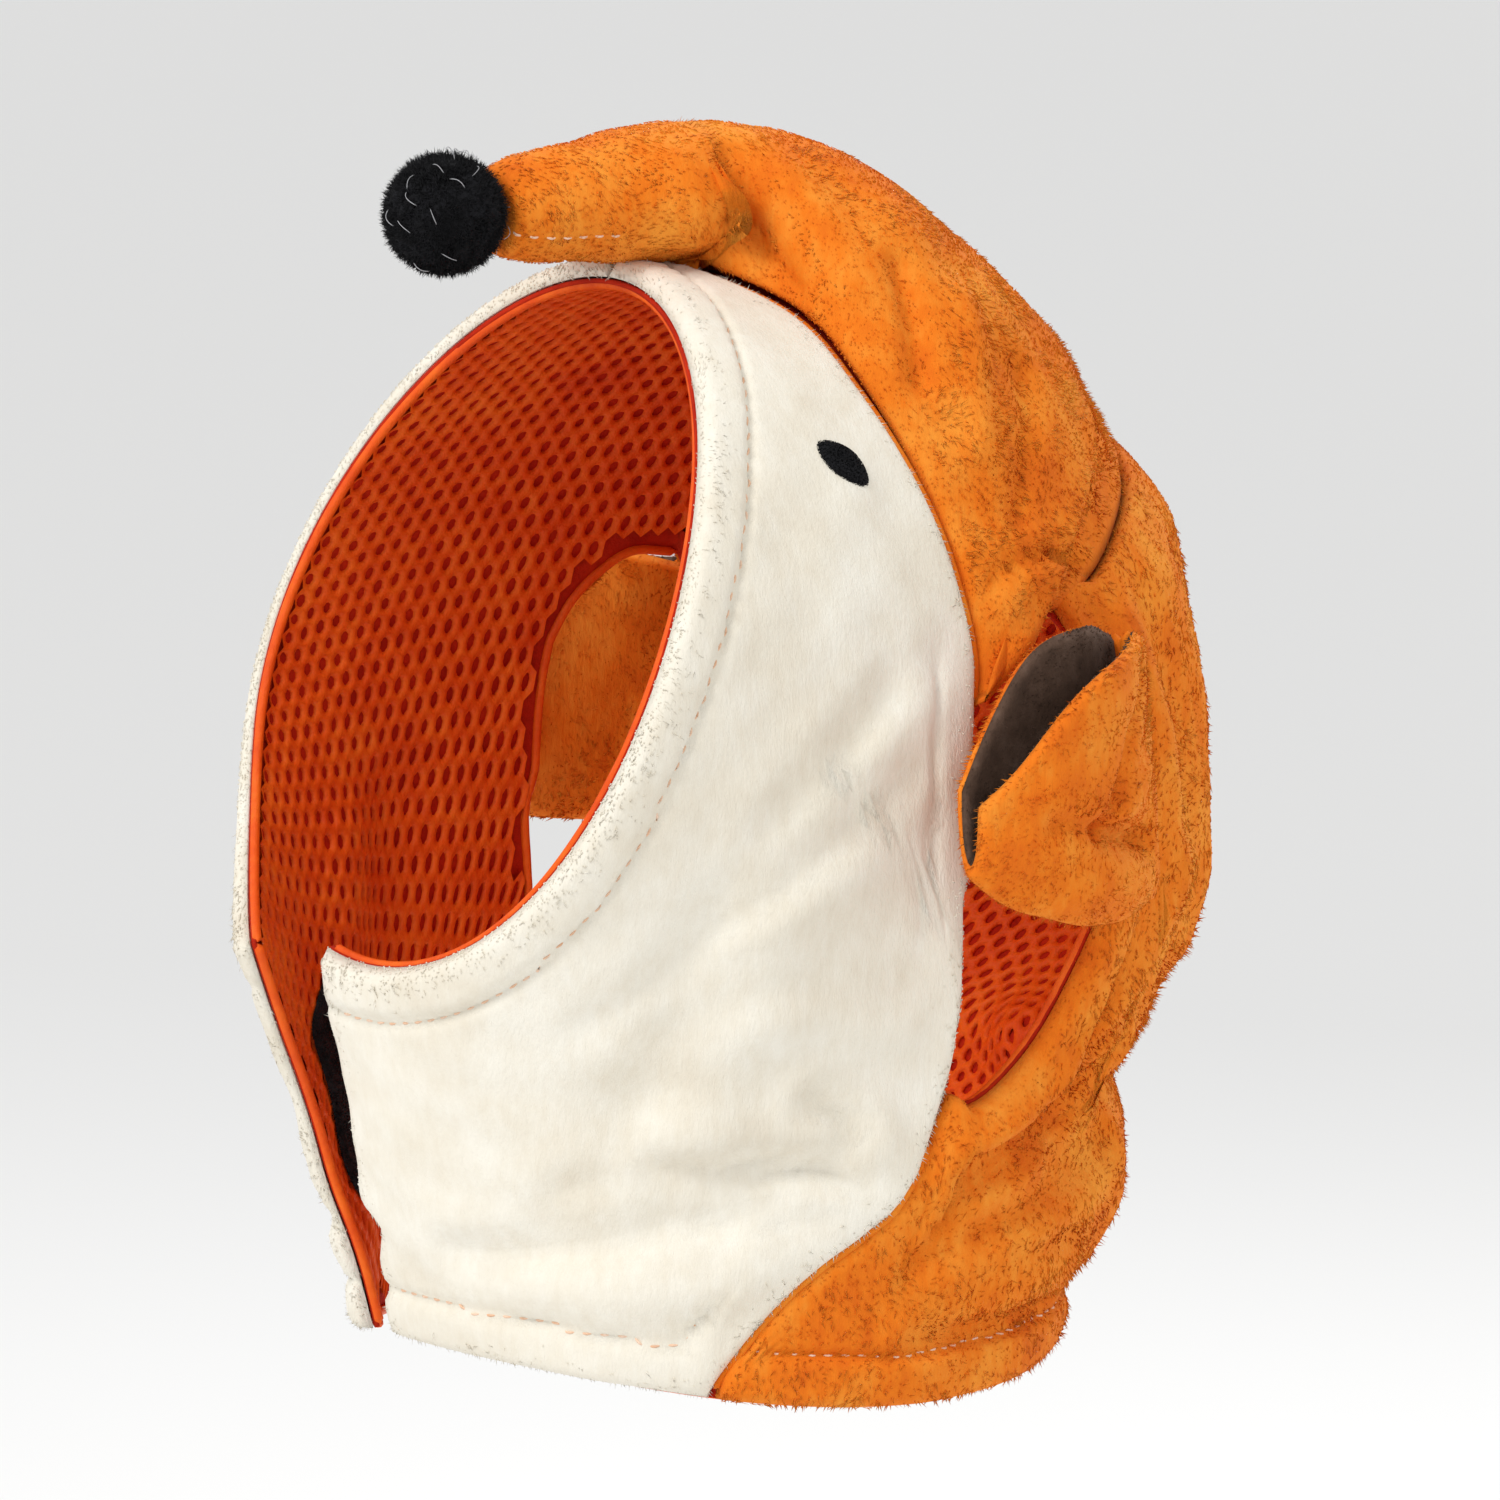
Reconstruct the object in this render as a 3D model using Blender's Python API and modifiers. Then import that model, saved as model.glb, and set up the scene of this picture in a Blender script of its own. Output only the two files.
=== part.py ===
"""Dog hat: a plush hood in the shape of a fox's face.

The hood is a bent tube of cloth. It starts at the rim round the dog's face
and ends at the hem round its neck. A point on it is named by two numbers:
share runs from 0 at the rim to 1 at the hem, and angle runs round the tube,
0 at the chin, 90 at the left side, 180 over the crown and -90 at the right.
All pieces are modelled over the middle of the neck hem, and the empty
head_fit moves them so that the world's origin is where the head sits.
The dog faces -Y and +Z is up. Lengths are in metres.
"""
import math

import bmesh
import bpy
import numpy as np
from mathutils import Vector

# Driving sizes of the hood
HOOD_HEIGHT = 0.205
HOOD_DEPTH = 0.190
HOOD_WIDTH = 0.132
PLUSH = 0.0022
LINING = 0.0018
LAYER_GAP = 0.0003
SEAM_GAP = 0.0004
FOLD_DEPTH = 0.004
FOLD_WIDTH = 0.010

# Driving sizes of the snout and the pompom
SNOUT_LENGTH = 0.140
SNOUT_RISE = 0.064
SNOUT_WIDTH = 0.036
POMPOM_RADIUS = 0.0108
LOCK_LENGTH = 0.0013

# Driving sizes of the ears, the eyes and the patch
EAR_LENGTH = 0.054
EAR_HEIGHT = 0.050
EAR_SPREAD = 0.020
EAR_PLUSH = 0.0016
EAR_FELT = 0.0012
EYE_LENGTH = 0.0145
EYE_WIDTH = 0.0062
EYE_FELT = 0.0012
PATCH_WIDTH = 0.022
PATCH_HEIGHT = 0.040
PATCH_THICKNESS = 0.0012

# Where the panels begin and end round the tube, in degrees
NEAR_FLAP_END = -12.0
FAR_FLAP_END = -21.0
FAR_FLAP_LIFT = 0.011
FAR_FLAP_DROP = 0.75
FAR_FLAP_BEND = 64.0
HEM_CORNER = 51.0
CROWN_SEAM_START = 100.0
CORNER_TRIM = 1.5
LEAST_TRIM_WIDTH = 0.15
SLOT_BOTTOM = 81.0
SLOT_TOP = 119.0
SEAT_SHARE = 0.26

# Sections of the tube. The y columns are shares of HOOD_DEPTH, the z and bow
# columns of HOOD_HEIGHT, half_width of HOOD_WIDTH; peak narrows the back.
# share, front_y, front_z, back_y, back_z, half_width, peak, bow
HOOPS = np.array([
    [0.00, -0.442, 0.400, -0.142, 1.000, 0.462, 0.16, 0.020],
    [0.20, -0.426, 0.322, 0.116, 0.985, 0.484, 0.12, 0.005],
    [0.40, -0.411, 0.254, 0.368, 0.868, 0.500, 0.08, 0.000],
    [0.60, -0.395, 0.185, 0.548, 0.620, 0.500, 0.04, 0.000],
    [0.80, -0.374, 0.117, 0.458, 0.275, 0.480, 0.02, -0.010],
    [1.00, -0.353, 0.040, 0.326, 0.015, 0.470, 0.00, -0.036],
])

# Edge of the cheek: angle, share
CHEEK_EDGE = np.array([
    [51, 1.000], [55, 0.940], [61, 0.870], [66, 0.835], [72, 0.810], [78, 0.770],
    [81, 0.705], [84, 0.570], [90, 0.490], [95, 0.435], [100, 0.395], [105, 0.365],
    [110, 0.326], [117, 0.276], [134, 0.172], [150, 0.120], [165, 0.075], [180, 0.055],
])

# Lower edge of the snout, over the ear slot and then along the back panel
CROWN_EDGE = np.array([
    [100, 0.395], [105, 0.380], [110, 0.378], [115, 0.388], [119, 0.420],
    [126, 0.432], [140, 0.445], [160, 0.458], [180, 0.462],
])

# Front edge of the back panel, up the rear of the ear slot
BACK_EDGE = np.array([
    [51, 1.000], [55, 0.940], [61, 0.870], [66, 0.835], [72, 0.810], [78, 0.770],
    [81, 0.705], [86, 0.722], [93, 0.715], [99, 0.690], [105, 0.636], [110, 0.590],
    [114, 0.540], [117, 0.490], [119, 0.420],
    [126, 0.432], [140, 0.445], [160, 0.458], [180, 0.462],
])

# Folds of the cloth. Depth is a share of FOLD_DEPTH, up from the surface, and
# width of FOLD_WIDTH. side is 1 for the left, -1 for the right and 0 for both.
# side, angle_1, share_1, angle_2, share_2, depth, width
FOLDS = [
    [0, 112, 0.66, 180, 0.74, 0.7, 1.5],
    [0, 105, 0.79, 180, 0.835, -1.2, 0.9],
    [0, 100, 0.88, 180, 0.90, 0.6, 1.3],
    [0, 95, 0.945, 180, 0.955, -0.7, 0.7],
    [0, 128, 0.47, 180, 0.50, 0.9, 1.6],
    [0, 60, 0.30, 38, 0.52, -0.5, 0.9],
    [0, 70, 0.36, 30, 0.70, 0.5, 1.2],
    [1, 66, 0.72, 28, 0.70, -0.6, 0.8],
    [1, 74, 0.74, 36, 0.86, 0.5, 1.0],
    [-1, 70, 0.70, 34, 0.78, -0.5, 1.0],
]

# Free part of the snout, in closed ovals. along is a share of SNOUT_LENGTH
# back from the nose, bottom and top of SNOUT_RISE over the crown, half_width
# of SNOUT_WIDTH.
# along, bottom, top, half_width
SNOUT_OVALS = np.array([
    [0.000, 0.185, 0.265, 0.070],
    [0.006, 0.090, 0.350, 0.230],
    [0.120, 0.062, 0.400, 0.330],
    [0.230, 0.045, 0.432, 0.430],
    [0.305, 0.040, 0.440, 0.500],
])

# Base of the snout, in arches that stand on the hood. foot is the angle
# where an arch stands on the cheek's edge; past the corner of the ear slot it
# counts on down, along the snout's lower edge. ridge is the share over which
# its top lies, swell its height over the cloth in shares of SNOUT_RISE, and
# fullness makes its top flatter.
# foot, ridge, swell, fullness
SNOUT_ARCHES = np.array([
    [81, 0.462, 0.00, 2.0],
    [92, 0.425, 0.06, 2.2],
    [100, 0.385, 0.10, 2.4],
    [110, 0.330, 0.16, 2.6],
    [119, 0.280, 0.21, 2.6],
    [134, 0.200, 0.32, 2.6],
    [150, 0.140, 0.38, 2.4],
    [180, 0.080, 0.40, 2.0],
])
SNOUT_SPLIT = 138.0
SNOUT_EASE = 0.0005
NOSE_AHEAD = 0.19
POMPOM_RISE = 0.225
POMPOM_LOCKS = 70
LOCK_FURROW = 0.035

# Sections of an ear, from the base to the tip. along is a share of
# EAR_LENGTH, the out columns of EAR_SPREAD and the up columns of EAR_HEIGHT.
# along, near_out, near_up, keel_out, keel_up, far_out, far_up
EAR_SECTIONS = np.array([
    [0.33, 0.72, 0.48, 0.46, -0.51, 0.16, 0.55],
    [0.66, 0.96, 0.33, 0.64, -0.44, 0.34, 0.46],
    [0.90, 0.82, 0.06, 0.62, -0.32, 0.44, 0.16],
    [1.00, 0.70, -0.04, 0.60, -0.23, 0.50, 0.00],
])
EAR_TOP_SHARE = 0.46
EAR_FOOT_SHARE = 0.630
EAR_SET_BACK = 3.0
EAR_FULLNESS = 1.15
EAR_END = 0.985

# Where the felt lies in an ear: shares of its length, and of its width
FELT_START = 0.20
FELT_END = 0.95
FELT_REACH = 0.97

# Places of the eyes and the patch: share, angle in degrees
EYE_SHARE = 0.15
EYE_ANGLE = 121.5
EYE_TILT = 31.0
EYE_GAP = 0.0005
EYE_ROUNDNESS = 1.7
PATCH_GAP = 0.0008
PATCH_SHARE = 0.56
PATCH_ANGLE = -37.0
PATCH_ROUNDNESS = 6.0

# Colour and roughness of each material
CLOTHS = {
    "orange_plush": ((0.80, 0.205, 0.010), 0.85),
    "cream_plush": ((0.87, 0.80, 0.68), 0.85),
    "mesh_lining": ((0.72, 0.08, 0.004), 0.70),
    "black_wool": ((0.006, 0.006, 0.007), 0.95),
    "brown_felt": ((0.055, 0.030, 0.018), 0.95),
    "black_tape": ((0.008, 0.008, 0.009), 0.80),
}

# How finely the pieces are divided, and the steps that slopes are taken over
PATCH_RINGS = 2
PATCH_SIDES = 20
COLUMN_STEP = 8.0
CHEEK_ROWS = 8
CROWN_ROWS = 4
BACK_ROWS = 8
NOSE_ROWS = 7
EAR_ROWS = 9
EAR_COLUMNS = 12
SHARE_STEP = 0.002
ANGLE_STEP = 0.5
EAR_STEP = 0.01


def spline(knots, values, at):
    """Smooth curve through the rows of a table."""
    knots = np.asarray(knots, float)
    values = np.asarray(values, float)
    at = np.clip(np.asarray(at, float), knots[0], knots[-1])
    slopes = np.gradient(values, knots, axis=0)
    index = np.clip(np.searchsorted(knots, at, side="right") - 1, 0, len(knots) - 2)
    step = knots[index + 1] - knots[index]
    t = (at - knots[index]) / step
    if values.ndim > 1:
        extra = (1,) * (values.ndim - 1)
        t = t.reshape(t.shape + extra)
        step = step.reshape(step.shape + extra)
    start, end = values[index], values[index + 1]
    rise, fall = slopes[index] * step, slopes[index + 1] * step
    return (start * (1 + 2 * t) * (1 - t) ** 2 + rise * t * (1 - t) ** 2
            + end * t * t * (3 - 2 * t) + fall * t * t * (t - 1))


def stack(x, y, z):
    """Points from three arrays of coordinates."""
    return np.stack(np.broadcast_arrays(x, y, z), axis=-1).astype(float)


def tube(share, angle):
    """The bare tube, without folds."""
    row = spline(HOOPS[:, 0], HOOPS[:, 1:], share)
    turn = np.radians(angle)
    along = (1 - np.cos(turn)) / 2
    front_y, back_y = row[..., 0] * HOOD_DEPTH, row[..., 2] * HOOD_DEPTH
    front_z, back_z = row[..., 1] * HOOD_HEIGHT, row[..., 3] * HOOD_HEIGHT
    run_y, run_z = back_y - front_y, back_z - front_z
    run = np.hypot(run_y, run_z)
    bow = row[..., 6] * HOOD_HEIGHT * np.sin(turn) ** 2
    x = row[..., 4] * HOOD_WIDTH * np.sin(turn) * (1 - row[..., 5] * along)
    y = front_y + run_y * along - bow * run_z / run
    z = front_z + run_z * along + bow * run_y / run
    return stack(x, y, z)


def unit(vectors):
    """Vectors of length one."""
    return vectors / np.maximum(np.linalg.norm(vectors, axis=-1, keepdims=True), 1e-12)


def outward(surface, share, angle):
    """Direction out of a surface that is given by share and angle."""
    share = np.clip(share, SHARE_STEP, 1 - SHARE_STEP)
    down = surface(share + SHARE_STEP, angle) - surface(share - SHARE_STEP, angle)
    round_ = surface(share, angle + ANGLE_STEP) - surface(share, angle - ANGLE_STEP)
    return unit(np.cross(down, round_))


def distance_to_line(points, line):
    """Distance from each point to a line of short straight runs."""
    nearest = np.full(points.shape[:-1], np.inf)
    for start, end in zip(line[:-1], line[1:]):
        run = end - start
        t = np.clip(((points - start) @ run) / (run @ run), 0, 1)
        gap = np.linalg.norm(points - start - t[..., None] * run, axis=-1)
        nearest = np.minimum(nearest, gap)
    return nearest


def fold_lines():
    """Each fold as a line on the bare tube, with its depth and its width."""
    steps = np.linspace(0, 1, 9)
    for side, angle_1, share_1, angle_2, share_2, depth, width in FOLDS:
        angle = angle_1 + (angle_2 - angle_1) * steps
        share = share_1 + (share_2 - share_1) * steps
        for sign in ([1, -1] if side == 0 else [side]):
            yield tube(share, sign * angle), depth * FOLD_DEPTH, width * FOLD_WIDTH


FOLD_LINES = list(fold_lines())


def folded(share, angle):
    """The tube with its folds, and the far flap lifted off the neck."""
    points = tube(share, angle)
    rise = np.zeros(points.shape[:-1])
    for line, depth, width in FOLD_LINES:
        rise += depth * np.exp(-(distance_to_line(points, line) / width) ** 2)
    bent = np.clip((FAR_FLAP_BEND + angle) / (FAR_FLAP_BEND + FAR_FLAP_END), 0, 1.2)
    far = np.asarray(angle) < (NEAR_FLAP_END + FAR_FLAP_END) / 2
    rise += FAR_FLAP_LIFT * bent ** 2 * (1 - FAR_FLAP_DROP * share) * far
    return points + outward(tube, share, angle) * rise[..., None]


def hood(share, angle, lift=0.0):
    """A point of the hood, lifted off its base surface."""
    share = np.asarray(share, float)
    angle = np.asarray(angle, float)
    lift = np.asarray(lift, float)
    return folded(share, angle) + outward(folded, share, angle) * lift[..., None]


def cheek_edge(angle):
    """Share at which the cheek ends, for an angle from the chin."""
    return spline(CHEEK_EDGE[:, 0], CHEEK_EDGE[:, 1], np.abs(angle))


def crown_edge(angle):
    """Share at which the snout's base ends."""
    inside = spline(CROWN_EDGE[:, 0], CROWN_EDGE[:, 1], np.abs(angle))
    return np.where(np.abs(angle) > CROWN_SEAM_START, inside, cheek_edge(angle))


def back_edge(angle):
    """Share at which the back panel starts."""
    return spline(BACK_EDGE[:, 0], BACK_EDGE[:, 1], np.abs(angle))


def trimmed(edge, angle, direction):
    """The edge moved along the tube, so that half the seam gap is free."""
    share = edge(angle)
    slope = (edge(angle + ANGLE_STEP) - edge(angle - ANGLE_STEP)) / (2 * ANGLE_STEP)
    down = (tube(share + SHARE_STEP, angle) - tube(share - SHARE_STEP, angle)) / (2 * SHARE_STEP)
    round_ = (tube(share, angle + ANGLE_STEP) - tube(share, angle - ANGLE_STEP)) / (2 * ANGLE_STEP)
    along = unit(round_ + slope[..., None] * down)
    width = np.linalg.norm(np.cross(down, along), axis=-1)
    return share + direction * SEAM_GAP / 2 / np.maximum(width, HOOD_WIDTH * LEAST_TRIM_WIDTH)


def spread(start, end, marks, step):
    """Angles from start to end that meet the marks, about a step apart."""
    stops = [start] + [m for m in marks if start < m < end] + [end]
    angles = [start]
    for first, last in zip(stops[:-1], stops[1:]):
        count = max(1, round((last - first) / step))
        angles += [first + (last - first) * (i + 1) / count for i in range(count)]
    return np.array(angles, float)


def grid_mesh(name, points, kept=None):
    """An open sheet over rows of points, with double points joined."""
    rows, columns = points.shape[:2]
    mesh = bpy.data.meshes.new(name)
    build = bmesh.new()
    verts = [[build.verts.new(points[r, c]) for c in range(columns)] for r in range(rows)]
    for r in range(rows - 1):
        for c in range(columns - 1):
            if kept is None or kept[r, c]:
                corners = (verts[r][c], verts[r + 1][c], verts[r + 1][c + 1], verts[r][c + 1])
                build.faces.new(corners)
    bmesh.ops.remove_doubles(build, verts=build.verts[:], dist=0.00002)
    loose = [v for v in build.verts if not v.link_faces]
    bmesh.ops.delete(build, geom=loose, context="VERTS")
    build.to_mesh(mesh)
    build.free()
    mesh.shade_smooth()
    return mesh


def new_material(name):
    """A plain cloth material."""
    colour, roughness = CLOTHS[name]
    material = bpy.data.materials.new(name)
    material.use_nodes = True
    shader = material.node_tree.nodes["Principled BSDF"]
    shader.inputs["Base Color"].default_value = (*colour, 1.0)
    shader.inputs["Roughness"].default_value = roughness
    shader.inputs["Metallic"].default_value = 0.0
    return material


def add_object(name, mesh, material):
    """Put a mesh in the hat's collection, under the empty that places it."""
    piece = bpy.data.objects.new(name, mesh)
    piece.data.materials.append(material)
    piece.parent = HEAD_FIT
    COLLECTION.objects.link(piece)
    return piece


def add_sheet(name, points, material, thickness, inward=False, kept=None):
    """A cloth sheet with its thickness on one side of the points."""
    piece = add_object(name, grid_mesh(name, points, kept), material)
    solid = piece.modifiers.new("thickness", "SOLIDIFY")
    solid.thickness = thickness
    solid.offset = -1.0 if inward else 1.0
    return piece


def band(first, last, rows):
    """Shares in even rows from one edge to another, for each angle."""
    steps = np.linspace(0, 1, rows + 1)[:, None]
    return first[None, :] * (1 - steps) + last[None, :] * steps


PANEL_MARKS = [HEM_CORNER, SLOT_BOTTOM, CROWN_SEAM_START, SLOT_TOP]


def cheek_angles(start):
    """Angles of a cheek's columns, from its flap's end to the crown."""
    return spread(start, 180.0, [0.0, *PANEL_MARKS], COLUMN_STEP)


def add_cheek(name, side, start, material):
    """One cream cheek, from its flap to the middle of the crown."""
    angles = cheek_angles(start)
    half_gap = math.degrees(SEAM_GAP / HOOD_WIDTH)
    angles[-1] -= half_gap
    ends = np.where(angles > HEM_CORNER, trimmed(cheek_edge, angles, -1), 1.0)
    shares = band(np.zeros(len(angles)), ends, CHEEK_ROWS)
    points = hood(shares, side * np.broadcast_to(angles, shares.shape), LAYER_GAP)
    if side < 0:
        points = points[:, ::-1]
    return add_sheet(name, points, material, PLUSH)


def add_back_panel(material):
    """The orange panel round the nape and the neck."""
    half = spread(HEM_CORNER, 180.0, PANEL_MARKS, COLUMN_STEP)
    half[0] += CORNER_TRIM
    angles = np.concatenate([half, 360.0 - half[-2::-1]])
    starts = np.minimum(trimmed(back_edge, np.abs(wrapped(angles)), 1), 1.0)
    starts[[0, -1]] = 1.0
    shares = band(starts, np.ones(len(angles)), BACK_ROWS)
    points = hood(shares, np.broadcast_to(wrapped(angles), shares.shape), LAYER_GAP)
    return add_sheet("back_panel", points, material, PLUSH)


def wrapped(angles):
    """Angles past the crown as negative angles of the right side."""
    return np.where(angles > 180.0, angles - 360.0, angles)


def add_lining(material):
    """The mesh lining, in one sheet with both ear slots left open."""
    left = cheek_angles(NEAR_FLAP_END)
    right = cheek_angles(-FAR_FLAP_END)
    angles = np.concatenate([left, 360.0 - right[-2::-1]])
    around = wrapped(angles)
    size = np.abs(around)
    ends = np.where(size > HEM_CORNER, cheek_edge(size), 1.0)
    crowns = np.where(size > HEM_CORNER, crown_edge(size), 1.0)
    backs = np.where(size > HEM_CORNER, back_edge(size), 1.0)
    cheeks = np.where(size > HEM_CORNER, trimmed(cheek_edge, size, -1), 1.0)
    upper = band(np.zeros(len(angles)), cheeks, CHEEK_ROWS)
    upper[-1] = ends
    middle = band(ends, crowns, CROWN_ROWS)[1:]
    panels = np.where(size > HEM_CORNER, np.minimum(trimmed(back_edge, size, 1), 1.0), 1.0)
    lower = band(panels, np.ones(len(angles)), BACK_ROWS)
    lower[0] = backs
    shares = np.concatenate([upper, middle, lower])
    points = hood(shares, np.broadcast_to(around, shares.shape), 0.0)
    kept = np.ones((len(shares) - 1, len(angles) - 1), bool)
    middle_of_column = (size[:-1] + size[1:]) / 2
    in_slot = (middle_of_column > SLOT_BOTTOM) & (middle_of_column < SLOT_TOP)
    kept[len(upper) + len(middle) - 1] = ~in_slot
    return add_sheet("lining", points, material, LINING, inward=True, kept=kept)


def nose_start():
    """The snout's own origin: over the crown line, at the nose."""
    crown = tube(0.0, 180.0)
    return np.array([0.0, crown[1] - NOSE_AHEAD * SNOUT_LENGTH, crown[2]])


def snout_foot(mark):
    """Angle and share where an arch stands: on the cheek's edge, or past the
    ear slot's front corner on the snout's own lower edge."""
    on_cheek = mark >= CROWN_SEAM_START
    angle = np.where(on_cheek, mark, 2 * CROWN_SEAM_START - mark)
    share = np.where(on_cheek, trimmed(cheek_edge, angle, 1), trimmed(crown_edge, angle, -1))
    return angle, share


def snout_arch(mark, across):
    """One arch of the snout's base, over the hood, from foot to foot."""
    ridge, swell, fullness = spline(SNOUT_ARCHES[:, 0], SNOUT_ARCHES[:, 1:], np.array(mark))
    foot_angle, foot_share = snout_foot(np.array(mark))
    size = np.abs(across)
    angle = 180.0 - (180.0 - foot_angle) * size
    share = ridge + (foot_share - ridge) * size ** 1.5
    if mark <= 2 * CROWN_SEAM_START - SLOT_TOP:
        share = trimmed(crown_edge, angle, -1)
    lift = swell * SNOUT_RISE * (1 - size ** fullness)
    points = hood(share, angle, LAYER_GAP + PLUSH + SNOUT_EASE + lift)
    points[:, 0] *= np.where(across < 0, -1, 1)
    return points


def snout_points():
    """The snout from the nose to the nape. The rows of its base stand at the
    cheek's own columns, and its last row meets those of the back panel."""
    nape_columns = round((180.0 - SLOT_TOP) / COLUMN_STEP)
    across = np.linspace(-1, 1, 2 * nape_columns + 1)
    start = nose_start()
    turn = across * math.pi
    ovals = []
    for along, bottom, top, half_width in SNOUT_OVALS:
        x = np.sin(turn) * half_width * SNOUT_WIDTH
        middle, half = (top + bottom) / 2, (top - bottom) / 2
        z = start[2] + (middle + half * np.cos(turn)) * SNOUT_RISE
        ovals.append(stack(x, start[1] + along * SNOUT_LENGTH, z))
    places = np.linspace(0, len(ovals) - 1, NOSE_ROWS + 1)
    nose = spline(np.arange(len(ovals)), np.array(ovals), places)
    nose[:, 0] = nose[:, -1]
    on_cheek = spread(CROWN_SEAM_START, 180.0, [SLOT_TOP], COLUMN_STEP)[-2::-1]
    on_slot = spread(CROWN_SEAM_START, SLOT_TOP, [], COLUMN_STEP)[1:]
    marks = list(on_cheek) + list(2 * CROWN_SEAM_START - on_slot)
    base = []
    for mark in marks:
        arch = snout_arch(mark, across)
        opened = min(1.0, (180.0 - mark) / (180.0 - SNOUT_SPLIT))
        eased = opened * opened * (3 - 2 * opened)
        row = nose[-1] * (1 - eased) + arch * eased
        foot_shift = (arch[-1] - row[-1]) * np.abs(across[:, None]) ** 4
        foot_shift[across < 0, 0] *= -1
        base.append(row + foot_shift)
    return np.concatenate([nose, np.array(base)])


def add_snout(material):
    """The orange snout, hollow, with its mouth over the cheeks."""
    return add_sheet("snout", snout_points()[:, ::-1], material, PLUSH, inward=True)


def add_pompom(material):
    """The pompom nose: locks of yarn, fused to a ball."""
    golden = math.pi * (3 - math.sqrt(5))
    locks = []
    for i in range(POMPOM_LOCKS):
        height = 1 - (2 * i + 1) / POMPOM_LOCKS
        ring = math.sqrt(1 - height * height)
        locks.append((ring * math.cos(i * golden), ring * math.sin(i * golden), height))
    locks = np.array(locks)
    build = bmesh.new()
    bmesh.ops.create_icosphere(build, subdivisions=4, radius=POMPOM_RADIUS)
    for vert in build.verts:
        direction = np.array(vert.co.normalized())
        nearness = np.sort(locks @ direction)[-2:]
        edge = min(1.0, (nearness[1] - nearness[0]) / LOCK_FURROW)
        vert.co = Vector(direction * (POMPOM_RADIUS + LOCK_LENGTH * (edge - 1 / 2)))
    mesh = bpy.data.meshes.new("nose_pompom")
    build.to_mesh(mesh)
    build.free()
    mesh.shade_smooth()
    pompom = add_object("nose_pompom", mesh, material)
    start = nose_start()
    reach = POMPOM_RADIUS + LOCK_LENGTH / 2 + SEAM_GAP
    pompom.location = (0.0, start[1] - reach, start[2] + POMPOM_RISE * SNOUT_RISE)
    return pompom


def ear_surface(u, v, side):
    """A point of an ear: u from base to tip, v from its outer edge round the
    keel at its foot to its inner edge."""
    top_angle = float(np.interp(EAR_TOP_SHARE, *rear_of_slot())) + EAR_SET_BACK
    foot_angle = float(np.interp(EAR_FOOT_SHARE, *rear_of_slot())) + EAR_SET_BACK
    low = LAYER_GAP + PLUSH + SEAM_GAP + EAR_PLUSH
    high = low + 2 * EAR_PLUSH + 2 * EAR_FELT + 3 * LAYER_GAP
    far = hood(EAR_TOP_SHARE, top_angle, low)
    near = hood(EAR_TOP_SHARE, top_angle, high)
    keel = hood(EAR_FOOT_SHARE, foot_angle, (low + high) / 2)
    base = (near + keel) / 2
    rows = [[near, keel, far]]
    for along, n_out, n_up, k_out, k_up, f_out, f_up in EAR_SECTIONS:
        place = base - np.array([0.0, along * EAR_LENGTH, 0.0])
        rows.append([place + np.array([out * EAR_SPREAD, 0.0, up * EAR_HEIGHT])
                     for out, up in ((n_out, n_up), (k_out, k_up), (f_out, f_up))])
    knots = np.concatenate([[0.0], EAR_SECTIONS[:, 0]])
    lines = spline(knots, np.array(rows), u)
    near, keel, far = lines[..., 0, :], lines[..., 1, :], lines[..., 2, :]
    middle = (8 * keel - near - far) / 6
    width = (near - far) * EAR_FULLNESS / 2
    t = ((v + 1) / 2)[..., None]
    point = (near * (1 - t) ** 3 + 3 * (middle + width) * t * (1 - t) ** 2
             + 3 * (middle - width) * t * t * (1 - t) + far * t ** 3)
    point[..., 0] *= side
    return point


def rear_of_slot():
    """Shares and angles of the slot's rear edge, shares rising."""
    rows = BACK_EDGE[(BACK_EDGE[:, 0] >= 99) & (BACK_EDGE[:, 0] <= SLOT_TOP)][::-1]
    return rows[:, 1], rows[:, 0]


def ear_sheet(side, first, last, trim, lift):
    """Points of one layer of an ear."""
    u = np.linspace(first, last, EAR_ROWS + 1)[:, None]
    v = np.linspace(-trim, trim, EAR_COLUMNS + 1)[None, :]
    u, v = np.broadcast_arrays(u, v)
    along = ear_surface(u + EAR_STEP, v, side) - ear_surface(u - EAR_STEP, v, side)
    round_ = ear_surface(u, v + EAR_STEP, side) - ear_surface(u, v - EAR_STEP, side)
    out = unit(np.cross(along, round_)) * side
    points = ear_surface(u, v, side) - out * lift
    return points if side > 0 else points[:, ::-1]


def add_ears(plush, felt):
    """Both ears: plush outside, felt inside."""
    for name, side in (("left", 1), ("right", -1)):
        outer = ear_sheet(side, 0.0, EAR_END, 1.0, 0.0)
        add_sheet(f"ear_{name}_outer", outer, plush, EAR_PLUSH)
        inner = ear_sheet(side, FELT_START, FELT_END, FELT_REACH, LAYER_GAP)
        add_sheet(f"ear_{name}_inner", inner, felt, EAR_FELT, inward=True)


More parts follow.
